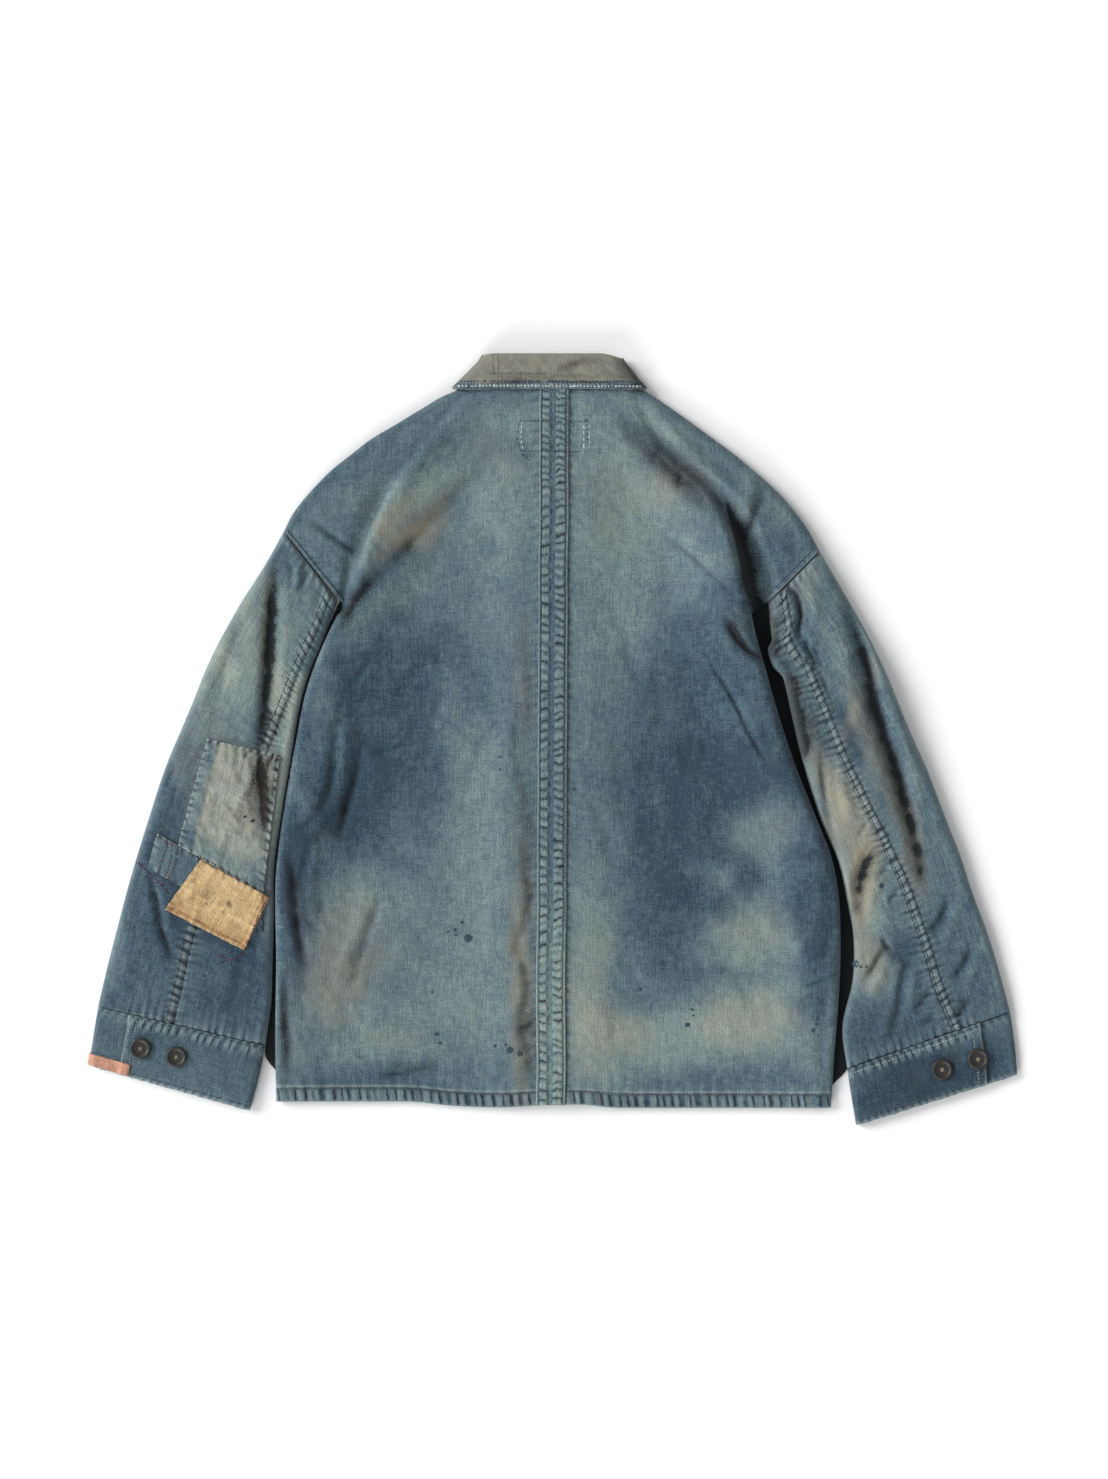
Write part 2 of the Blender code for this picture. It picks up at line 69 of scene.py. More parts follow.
# Side fold from hem to neck: y, how far out it lies, height of its crest and of its foot, and how far the
# foot runs on past it. Above the armhole it runs in over the shoulder blade, with a valley beside it.
SIDE_FOLD = {"left": [
    (-346, 262, 8, 1.8, -6), (-300, 263, 10, 1.8, -6), (-212, 262, 13, 1.8, -6),
    (-124, 262, 15, 1.8, -6), (-57, 253, 15, 1.8, -6), (0, 243, 16, 1.8, -6), (48, 233, 17, 1.8, -6),
    (84, 220, 19, 1.8, -6), (102, 212, 20, 2.2, -4), (132, 197, 21, 6, 3), (190, 180, 21, 10, 3),
    (240, 155, 19, 11, 3), (288, 115, 15, 11, 3), (338, 74, 11.5, 10.5, 3),
], "right": [
    (-346, 264, 8, 1.8, -6), (-300, 267, 11, 1.8, -6), (-250, 271, 14, 1.8, -6),
    (-190, 273, 16, 1.8, -6), (-146, 271, 17, 1.8, -6), (-113, 265, 18, 1.8, -6),
    (-74, 250, 19, 1.8, -6), (-21, 229, 20, 1.8, -6), (28, 213, 21, 1.8, -6), (70, 201, 23, 1.8, -6),
    (102, 192, 24, 2, -4), (132, 186, 24, 3.5, 18), (190, 173, 23, 4.5, 14), (216, 163, 21, 6, 7),
    (240, 148, 19, 8, 3), (270, 112, 16, 10, 3), (338, 74, 11.5, 10.5, 3),
]}
# Outline of the shoulder above the armhole: y, how far out, height there, height of the ridge beside the
# valley.
SHOULDER = {"left": [
    (199, 254, 12, 12), (214, 246.5, 12, 12), (228, 236, 12, 12), (242, 223.5, 12, 12),
    (256, 209.5, 12, 12), (271, 190.5, 12, 12), (285, 172.5, 12, 12), (299, 149, 12, 12),
    (313.5, 125, 12, 12), (328, 99.5, 11, 11), (334, 84, 10.5, 10.5), (338, 73, 10.5, 10.5),
], "right": [
    (180, 252.5, 14, 19), (200, 241.5, 14, 20), (214, 231.5, 14, 20), (228, 220, 14, 19.5),
    (242, 206, 14, 18), (256, 190, 13, 15), (271, 172, 13, 13.5), (285, 153, 12, 12.5),
    (299, 134, 12, 12), (314, 113, 11, 11), (325, 97, 11, 11), (333, 84, 10.5, 10.5),
    (338, 73, 10.5, 10.5),
]}
ARMHOLE = {"left": ((132, 200), (199, 254)), "right": ((132, 205), (180, 252.5))}

# Creases of the back: height (a trough is negative), half width, lean to the left if any, and the x and y of
# each point they run through.
BACK_CREASES = {"left": [
    (-4.2, 7, [-57, 267, -80, 247, -101, 224, -123, 202, -142, 181, -158, 161, -173, 149, -188, 137,
     -198, 122, -207, 102]),
    (-3.4, 6, [-84, 306, -95, 296, -106, 286, -116, 276, -126, 264, -136, 252, -146, 241]),
    (2.4, 8, 0.25, [-108, 288, -116, 270, -130, 256, -142, 243, -151, 230, -159, 214, -166, 200,
     -171, 188, -176, 172, -184, 152, -193, 134, -202, 114]),
    (-2.8, 3.5, 0.3, [-232, 210, -222, 202, -204, 189, -185, 176, -180, 172]),
    (-2, 8, [-196, 262, -216, 240, -236, 216, -250, 196]),
    (-1.2, 8, [-104, 312, -146, 292, -186, 266, -214, 238]),
    (-3, 4.5, 0.2, [-176, 6, -183, -16, -189, -42, -195, -62, -200, -84, -208, -100]),
    (-2.6, 4.5, [-197, 60, -200, 30, -205, 0, -209, -32, -214, -54, -230, -78, -246, -98]),
    (1.5, 4.5, [-192, 20, -197, -14, -202, -48, -212, -78]),
    (-3.2, 4.5, 0.2, [-253, -88, -248, -116, -246, -150, -240, -190, -233, -234]),
    (-1.8, 4, [-231, -100, -237, -128, -243, -158]), (1.4, 4, [-222, -96, -227, -124, -233, -160]),
    (-2.6, 5, [-257, -212, -252, -262, -249, -334]), (-2, 4.5, [-160, -138, -174, -176, -192, -230]),
    (1.3, 6, [-176, -150, -190, -190, -204, -230]), (-1.6, 5, [-170, -324, -134, -313, -94, -302]),
    (1.2, 4, [-160, -332, -120, -322, -84, -314]),
    (-2.6, 4.5, [-22, -60, -26, -110, -21, -150, -31, -194, -24, -232, -30, -266, -20, -320]),
    (-1.4, 4, [-40, -150, -34, -190, -44, -230]), (-1.2, 5, [-30, 30, -34, -10, -26, -50]),
    (-1.3, 16, [-160, -302, -128, -310, -92, -322]),
    (-0.9, 5, [-28, 180, -60, 150, -96, 128, -130, 112]),
    (-0.9, 6, [-20, 60, -52, 20, -76, -30, -90, -90]), (0.9, 7, [-34, 250, -70, 214, -90, 180]),
    (-1.8, 4, [-166, 84, -182, 62, -196, 44]), (-1.4, 6, [-112, 78, -136, 56, -152, 30]),
    (1, 9, [-210, 40, -216, -20, -226, -84, -232, -150]),
    (-1, 7, [-116, -160, -150, -190, -176, -232, -186, -280]),
    (0.8, 8, [-60, -180, -74, -220, -80, -270]), (-1.6, 2.6, [-134, 3, -146, -5, -158, -9, -172, -12]),
    (-1.3, 4, [-120, -24, -146, -44, -166, -70]), (-1.2, 5, [-96, 60, -112, 20, -118, -30]),
], "right": [
    (-4, 12, 0.2, [46, 324, 66, 304, 88, 282, 110, 260, 135, 240, 158, 214, 170, 190]),
    (-4.6, 3.6, -0.3, [162, 128, 167, 108, 176, 94, 187, 83, 203, 72]),
    (1.8, 5, [172, 122, 182, 104, 192, 92]), (1.4, 6, [154, 108, 164, 90, 180, 74]),
    (-1.8, 2.4, 0.3, [96, 202, 120, 184, 146, 160, 162, 144, 180, 125]),
    (-2.4, 2.6, 0.6, [140, 96, 150, 70, 162, 52, 174, 30, 184, 8, 192, -6, 202, -24, 208, -42]),
    (1.3, 5, [158, 80, 172, 52, 186, 24, 200, -6]),
    (2.6, 7, [174, 256, 186, 243, 191, 230, 184, 214, 175, 200]),
    (-4, 6, [200, 246, 197, 232, 190, 214, 183, 196, 180, 180]),
    (-2.6, 5, [200, 200, 206, 186, 212, 170, 222, 156]),
    (-1.6, 6, [124, 290, 148, 270, 172, 246, 184, 232]), (1.2, 6, [100, 304, 128, 276, 154, 256]),
    (-2.4, 6, -0.2, [258, -70, 262, -120, 264, -170, 262, -220]),
    (-2, 5, [258, -220, 258, -270, 254, -330]), (-1, 7, [40, 150, 62, 116, 78, 70, 84, 20]),
    (-0.9, 6, [28, -40, 48, -84, 62, -140]), (0.9, 8, [110, 20, 122, -30, 140, -84]),
    (-1.1, 7, [196, -60, 206, -110, 214, -160, 226, -214]), (-0.8, 8, [60, -200, 84, -240, 92, -290]),
    (-0.8, 5, [150, -200, 176, -226, 190, -262]), (0.8, 8, [24, 230, 40, 190, 56, 160]),
]}

# Where the dye is deep or gone on the back: strength, x, y, reach across, reach along, turn in degrees if
# any. Some dabs paint light instead: paler along the left side's roll, a painted highlight where it faces the
# light, and paler on the slope inside the left side fold, offsetting the shade that falls there.
BACK_DYE = [
    # deep blue of the left panel
    (0.3, -180, 36, 56, 88, -10), (0.3, -188, -62, 56, 58, 5), (0.1, -218, 60, 24, 84, 8),
    (0.2, -122, -24, 28, 62, 10), (0.24, -246, -132, 18, 64, 6), (0.12, -112, 92, 26, 20, 20),
    (0.12, -74, 52, 18, 34), (0.2, -236, 0, 14, 80, 10), (0.05, -185, 264, 58, 24, 40),
    (0.2, -190, 140, 8, 34, -36), (-0.06, -214, 214, 26, 22, 45), (0.1, -236, -310, 24, 28),
    (0.1, -150, -314, 70, 7, 4), (0.08, -160, 130, 40, 20, 30), (0.26, -244, -150, 14, 70, 4),
    (0.16, -205, -70, 22, 26), (0.2, -238, -226, 12, 40, -8), (0.14, -120, 46, 20, 26),
    # deep blue of the right panel
    (0.3, 146, 52, 60, 62), (0.34, 150, -32, 84, 42), (0.32, 116, -104, 46, 52), (0.24, 112, -168, 40, 42),
    (0.1, 108, -216, 32, 26), (0.1, 150, -227, 48, 12, 6), (0.3, 186, -128, 17, 24, 10),
    (0.3, 252, -150, 22, 72), (0.16, 250, -240, 18, 50), (0.18, 150, 130, 36, 18, 32),
    (0.2, 226, -30, 20, 60, 20), (0.1, 168, -319, 100, 11), (0.12, 84, -40, 14, 90),
    (0.18, 118, 262, 40, 14, -40), (0.12, 226, 176, 24, 40, 20), (0.1, 0, 30, 13, 220),
    # faded away on the left panel, with a painted highlight along its left side's roll
    (-0.14, -180, -165, 46, 38, 10), (-0.05, -138, -152, 22, 20), (-0.1, -206, -232, 40, 34, 25),
    (-0.1, -170, -268, 44, 26), (-0.08, -200, -298, 56, 16), (-0.2, -74, -70, 34, 92),
    (-0.16, -76, -190, 44, 62), (-0.16, -84, -258, 60, 40), (-0.2, -62, 216, 52, 58, 20),
    (-0.18, -136, 230, 16, 50, -42), (-0.04, -56, 132, 36, 46), (-0.24, -148, 138, 34, 15, 35),
    (-0.2, -182, 100, 24, 14, 40), (-0.16, -210, 30, 9, 70, 12), (-0.14, -108, 244, 24, 12, 46),
    (-0.16, -216, 84, 10, 40, 16), (-0.2, -229, 24, 9, 46, 12), (-0.16, -238, -34, 9, 36, 8),
    (-0.1, -38, 306, 26, 16), (-0.06, -130, -200, 20, 30), (0.16, -60, 184, 14, 14),
    (0.2, -160, -328, 70, 8), (0.2, -192, -216, 10, 22, -30), (0.22, -236, -92, 10, 14),
    (0.2, -239, -142, 7, 30), (0.2, -222, -152, 6, 18), (0.16, -256, -220, 6, 44),
    (-0.1, -158, 192, 12, 20, -40), (-0.1, -106, 236, 14, 26, -44), (-0.16, -212, 10, 8, 60, 12),
    (-0.12, -186, 112, 14, 22, -40), (0.1, -186, 158, 8, 14, -30), (-0.08, -130, 146, 24, 16, 30),
    (-0.1, -176, 232, 22, 24, -40), (-0.1, -20, 308, 50, 20), (-0.12, -262, 10, 6, 60, 10),
    (0.12, -96, 206, 16, 20, -40), (0.12, -64, 254, 16, 16), (-0.14, -225, -20, 10, 40, 10),
    (0.1, -110, 84, 40, 20, 20),
    # faded away on the right panel
    (0.2, 182, -58, 17, 16), (0.2, 170, -108, 22, 12), (0.26, 162, -160, 16, 12),
    (0.2, 226, -130, 14, 60, 6), (0.12, 184, -84, 34, 22), (0.12, 190, -168, 36, 26),
    (0.24, 240, -196, 10, 12), (0.2, 228, -258, 16, 24), (0.16, 72, -290, 9, 26),
    (0.1, 212, 40, 14, 50, 14), (-0.1, 60, 262, 26, 24), (-0.08, 20, -230, 30, 90),
    (-0.12, 14, 318, 18, 14), (-0.26, 96, 304, 44, 12, -38), (-0.16, 216, 214, 14, 22, 30),
    (-0.07, 24, 210, 8, 110), (0.16, 100, -346, 70, 5), (0.1, 232, 150, 12, 16),
    (0.12, 200, -60, 18, 90, 12), (0.1, 124, 210, 14, 34, -30), (0.14, 90, -342, 150, 7),
    (-0.12, 112, -306, 60, 12), (-0.1, 100, -50, 14, 24), (0.14, -60, -340, 40, 10),
    (-0.1, -150, -300, 50, 14), (0.1, -176, -212, 14, 50, -16), (-0.16, 96, 236, 58, 60, -20),
    (-0.2, 60, 152, 36, 80), (-0.1, 130, 172, 40, 28, -30), (-0.14, 40, 300, 30, 30),
    (-0.06, 38, 60, 22, 60), (-0.22, 38, -190, 24, 84), (-0.26, 44, -292, 34, 50),
    (-0.2, 200, -84, 34, 33, 20), (-0.12, 216, -128, 18, 30), (-0.16, 152, -128, 30, 12, -14),
    (-0.24, 186, -184, 46, 34, 10), (-0.34, 186, -264, 52, 34), (-0.3, 104, -280, 62, 24),
    (-0.1, 236, -290, 26, 30), (-0.1, 190, 214, 8, 26, 20),
]
# Where the cloth has gone tan, in the same columns.
BACK_TAN = [
    (0.55, -120, 200, 16, 26, -46), (0.5, -151, 205, 11, 34, -36), (0.5, -132, 198, 7, 50, -46),
    (0.28, -190, -185, 44, 54, 15), (0.36, -206, -240, 32, 34), (0.26, -152, -284, 30, 14),
    (0.34, 192, -264, 50, 34), (0.36, 70, -276, 36, 20), (0.2, 186, -184, 44, 34, 10),
    (0.16, 200, -84, 34, 30, 20), (0.22, 30, -250, 24, 90), (0.24, -28, -210, 9, 140),
    (0.16, 60, 240, 60, 60), (0.24, 124, 240, 30, 30), (0.16, -50, 270, 40, 40), (0.2, -28, 50, 10, 70),
    (0.1, -246, -280, 20, 60), (0.3, -30, -230, 13, 110),
]
# Where folds and seams hold dirt and shade: strength, then the columns of a crease.
BACK_SHADE = [
    (1.15, 8.5, 0.75, [159, 236, 165, 220, 170, 206, 174, 190, 178, 168, 182, 146, 188, 130, 194, 116,
     200, 100, 206, 82]), (0.7, 2.6, 0.4, [160, 236, 165, 224, 169, 211, 173, 196, 177, 182]),
    (0.6, 5, 0.4, [186, 140, 195, 118, 202, 100, 208, 82]),
    (0.3, 10, [184, 206, 193, 186, 200, 162, 205, 142, 209, 120]),
    (0.5, 3, [148, 240, 156, 230, 163, 214, 171, 194]),
    (0.42, 13, [60, 314, 84, 288, 106, 262, 128, 244, 150, 232]), (0.2, 26, [76, 290, 110, 258, 146, 230]),
    (0.4, 7, [-60, 266, -79, 246, -100, 223, -122, 201, -141, 179, -154, 164]),
    (0.5, 7, [-128, 194, -141, 177, -155, 160]),
    (0.85, 7.5, [-158, 162, -176, 146, -189, 128, -196, 112, -202, 92]),
    (0.5, 6.5, [-84, 302, -94, 292, -104, 281, -113, 271, -124, 258, -140, 240]),
    (0.5, 11, -0.88, [-146, 252, -157, 235, -165, 217, -172, 203, -178, 189, -183, 172, -190, 152]),
    (0.5, 5, [196, 232, 191, 214, 184, 198, 178, 186]), (0.4, 9, [-24, -236, -25, -290, -27, -346]),
    (0.3, 10, [112, 258, 126, 241, 138, 227, 150, 212]), (0.3, 7, [166, 124, 180, 102, 196, 84]),
    (0.3, 12, [-26, 120, -25, 60, -28, 10, -30, -40, -25, -90, -23, -126]),
    (0.34, 10, [-24, 0, -23, -60, -23, -126, -23, -190, -22, -260, -25, -346]),
    (0.3, 7, [62, 14, 60, -30, 62, -60, 72, -90]), (0.36, 5, [230, -26, 241, -56, 251, -84]),
    (0.62, 2, [150, 72, 162, 52, 174, 30, 184, 8, 192, -6, 202, -24, 207, -40]),
    (1.15, 3.8, [163, 120, 167, 108, 176, 94, 187, 83, 203, 72]), (0.3, 8, [166, 128, 174, 112, 188, 98]),
    (0.4, 1.8, [112, 190, 134, 170, 152, 154, 164, 141, 178, 127]),
    (0.4, 2.4, [-232, 210, -222, 202, -204, 189, -184, 175]), (0.3, 3, [-250, 196, -243, 206, -236, 214]),
    (0.7, 3.5, [-250, -94, -248, -116, -246, -140, -243, -170, -237, -206, -232, -236]),
    (0.3, 8, [-240, -104, -241, -150, -238, -190]), (0.3, 9, [-140, 62, -150, 40, -158, 14]),
    (0.6, 4, [-180, -6, -186, -28, -190, -44, -196, -62, -200, -80, -207, -98]),
    (0.4, 4, [-205, -8, -209, -32, -214, -54, -226, -72, -240, -92]),
    (0.3, 12, [-196, -40, -214, -84, -240, -120]), (0.4, 1.8, [-136, 1, -146, -5, -158, -9, -168, -11]),
    (0.2, 9, [-192, 60, -194, 20, -190, -10]), (0.5, 4, [-160, -140, -174, -178, -192, -229, -206, -250]),
    (0.7, 5, [-256, -210, -254, -262, -251, -326]), (0.34, 8, [-172, -324, -134, -313, -94, -302]),
    (0.26, 4.4, [-20, -60, -25, -110, -20, -148, -31, -192, -24, -232, -31, -265, -20, -320, -22, -340]),
    (0.3, 4, [54, -246, 56, -266, 52, -290]), (0.36, 8, [90, 88, 96, 50, 94, -6]),
    (0.2, 4, [-22, 160, -27, 90, -22, 30, -24, -30]), (0.34, 2.4, [-192, -314, -150, -319, -108, -308]),
    (0.5, 1.4, [-193, -290, -182, -302, -171, -313]), (0.45, 1.5, [232, -236, 252, -228, 272, -220]),
    (0.3, 4, [262, -80, 267, -140, 267, -200, 264, -260]), (0.24, 2.2, [-50, -40, -44, -80, -40, -130]),
    (0.3, 2, [60, 318, 76, 324, 88, 330]),
]


def eased(share):
    """0 to 1 with soft ends."""
    share = np.clip(share, 0, 1)
    return share * share * (3 - 2 * share)


def capped(values):
    return np.clip(values, 0, 1)


def mix(a, b, share):
    return a + (b - a) * share


def bell(away, wide, power=2):
    """1 on a line and falling softly to 0 either side of it. A power of 4 gives it a flat top."""
    return np.exp(-((away / wide) ** power))


def fading(away, reach):
    """1 on a line and fading out beside it."""
    return np.exp(-np.maximum(away, 0) / reach)


def read(table, at):
    """The other columns of a table at these values of its first, on smooth curves through the rows."""
    table = np.array(table, float)
    where, rows = table[:, 0], table[:, 1:]
    slopes = np.gradient(rows, where, axis=0)
    at = np.clip(np.asarray(at, float), where[0], where[-1])
    low = np.clip(np.searchsorted(where, at, side="right") - 1, 0, len(where) - 2)
    wide = (where[low + 1] - where[low])[..., None]
    t = (at - where[low])[..., None] / wide
    value = rows[low] * (1 + 2 * t) * (1 - t) ** 2 + rows[low + 1] * t * t * (3 - 2 * t)
    value = value + slopes[low] * wide * t * (1 - t) ** 2 - slopes[low + 1] * wide * t * t * (1 - t)
    return np.moveaxis(value, -1, 0)


def cloudy(x, y, size, seed, layers=3):
    """Random hills and hollows about -1 to 1 high and size wide, each further layer half the size."""
    total, weight = 0, 0
    for layer in range(layers):
        turn = np.random.default_rng(seed + 17 * layer).uniform(0, 2 * np.pi, (64, 64))
        across, along = x / size * 2 ** layer, y / size * 2 ** layer
        low_x, low_y = np.floor(across).astype(int), np.floor(along).astype(int)
        dx, dy = across - low_x, along - low_y

        def slope(right, up):
            angle = turn[(low_x + right) % 64, (low_y + up) % 64]
            return np.cos(angle) * (dx - right) + np.sin(angle) * (dy - up)

        lower = mix(slope(0, 0), slope(1, 0), eased(dx))
        upper = mix(slope(0, 1), slope(1, 1), eased(dx))
        total = total + mix(lower, upper, eased(dy)) * 0.5 ** layer
        weight += 0.5 ** layer
    return 1.6 * total / weight


def run_along(points):
    """How far along a line each of its points lies."""
    return np.append(0, np.cumsum(np.hypot(*np.diff(points, axis=0).T)))


def curve(points, step=6.0):
    """Points about a step apart on a smooth line through the given ones."""
    points = np.array(points, float)
    at = run_along(points)
    if len(points) == 2:
        return mix(points[0], points[1], np.linspace(0, 1, 2)[:, None])
    return read(np.column_stack((at, points)), np.linspace(0, at[-1], max(3, int(at[-1] / step)))).T


def beside(x, y, path):
    """Distance from a smooth line, positive on its left, and how far along it the nearest point lies."""
    line = curve(path)
    start, run = line[:-1], np.diff(line, axis=0)
    length = np.hypot(*run.T)
    from_x, from_y = x[..., None] - start[:, 0], y[..., None] - start[:, 1]
    share = capped((from_x * run[:, 0] + from_y * run[:, 1]) / length ** 2)
    away = np.hypot(from_x - share * run[:, 0], from_y - share * run[:, 1])
    best = np.argmin(away, axis=-1)[..., None]
    left = np.sign(run[:, 0] * from_y - run[:, 1] * from_x)
    along = (np.append(0, np.cumsum(length))[:-1] + share * length)
    pick = [np.take_along_axis(values, best, -1)[..., 0] for values in (away, left, along)]
    return pick[0] * pick[1], pick[2], length.sum()


def creased(x, y, creases):
    """Height added by a table of creases, each soft at its ends."""
    total = np.zeros(np.shape(x))
    for height, wide, *lean, path in creases:
        lean, path = sum(lean), np.reshape(path, (-1, 2))
        (low_x, low_y), (high_x, high_y) = path.min(0) - 4 * wide, path.max(0) + 4 * wide
        near = (x > low_x) & (x < high_x) & (y > low_y) & (y < high_y)
        if near.any():
            away, along, whole = beside(x[near], y[near], path)
            flank = wide * np.where(away > 0, 1 + lean, 1 - lean)
            ends = eased(along / whole / 0.3) * eased((1 - along / whole) / 0.3)
            total[near] += height * ends * bell(away, flank)
    return total


def dabbed(x, y, dabs):
    """Sum of dabs of dye or dirt with soft, wandering edges."""
    x = x + 8 * cloudy(x, y, 60, 5) + 5 * cloudy(x, y, 17, 8)
    y = y + 8 * cloudy(x, y, 56, 6) + 5 * cloudy(x, y, 19, 9)
    total = np.zeros(np.shape(x))
    for strength, at_x, at_y, wide, long, *turn in dabs:
        turn = math.radians(sum(turn))
        cosine, sine = math.cos(turn), math.sin(turn)
        across = ((x - at_x) * cosine + (y - at_y) * sine) / wide
        along = ((y - at_y) * cosine - (x - at_x) * sine) / long
        total += strength * np.exp(-((across ** 2 + along ** 2) ** 1.6))
    return total


def rumpled(x, y, seed):
    """Height of the small random creases of washed cotton, in millimetres."""
    ridges = 0.55 - np.abs(cloudy(x, y * 0.7, 46, seed, 2))
    small = 0.4 - np.abs(cloudy(x + 0.3 * y, y, 17, seed + 3, 2))
    return (0.9 * ridges + 0.6 * cloudy(x, y, 27, seed + 1) + 0.75 * small
            + 0.45 * cloudy(x, y, 8, seed + 2, 2))


def fixed(name, data):
    """The object for a mesh, riding on the one body."""
    data.shade_smooth()
    piece = bpy.data.objects.new(name, data)
    bpy.context.scene.collection.objects.link(piece)
    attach(piece, "root")
    return piece


def cloth_piece(name, solid, cotton, place, wear_and_painted_light, grain, seam=(0, 0), wall=CLOTH, turned=False):
    """A piece of cloth from rows of points on its outer face, in place of a solid. Its colour layers hold,
    for each point, how much dye is left, how tan it is, its dirt together with painted shade, and its scuffs
    together with painted highlight. grain is its place on the flat cloth, across and along. seam is how far
    along its nearest seam it lies, and how hard the seam pinches it there. turned reverses the rows of a
    piece that would otherwise face inwards."""
    layers = np.broadcast_arrays(*place, *wear_and_painted_light, *grain, *seam)
    if turned:
        layers = [layer[:, ::-1] for layer in layers]
    points, wear_and_painted_light, grain, seam = (np.stack(layers[a:b], -1) for a, b in ((0, 3), (3, 7), (7, 9), (9, 11)))
    number = np.arange(points[..., 0].size).reshape(points.shape[:2])
    faces = np.stack([number[:-1, :-1], number[:-1, 1:], number[1:, 1:], number[1:, :-1]], -1).reshape(-1, 4)
    data = bpy.data.meshes.new(name)
    data.from_pydata((points.reshape(-1, 3) * MM).tolist(), [], faces.tolist())
    colour = data.color_attributes.new("wear_and_painted_light", "FLOAT_COLOR", "POINT")
    colour.data.foreach_set("color", capped(wear_and_painted_light).astype(np.float32).ravel())
    for layer_name, values in (("grain", grain * MM), ("seam", seam * (MM, 1))):
        layer = data.uv_layers.new(name=layer_name)
        layer.data.foreach_set("uv", values.reshape(-1, 2)[faces.ravel()].astype(np.float32).ravel())
    data.materials.append(cotton)
    piece = fixed(name, data)
    thick = piece.modifiers.new("wall", "SOLIDIFY")
    thick.thickness = wall * MM
    thick.offset = -1
    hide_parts(solid)
    return piece


def node(tree, kind, inputs=None, **settings):
    """Adds a node with its settings. inputs gives each socket a value, or another node's output to link."""
    made = tree.nodes.new(kind)
    for setting, value in settings.items():
        setattr(made, setting, value)
    for socket, value in (inputs or {}).items():
        if isinstance(value, bpy.types.NodeSocket):
            tree.links.new(value, made.inputs[socket])
        else:
            made.inputs[socket].default_value = value
    return made


def hex_colour(text):
    """Linear colour of an sRGB hex value."""
    parts = [int(text[k:k + 2], 16) / 255 for k in (1, 3, 5)]
    return (*(c / 12.92 if c <= 0.04045 else ((c + 0.055) / 1.055) ** 2.4 for c in parts), 1)


def new_material(name, roughness):
    material = bpy.data.materials.new(name)
    material.use_nodes = True
    shader = material.node_tree.nodes["Principled BSDF"]
    shader.inputs["Roughness"].default_value = roughness
    return material, material.node_tree, shader


PINCH = 8.5  # spacing of the pinches across a seam
THREAD = 1.6  # the real threads are 0.45 mm apart, and are drawn this far apart so as to show
SLUB = 0.9  # how much paler and darker the threads are than the dye


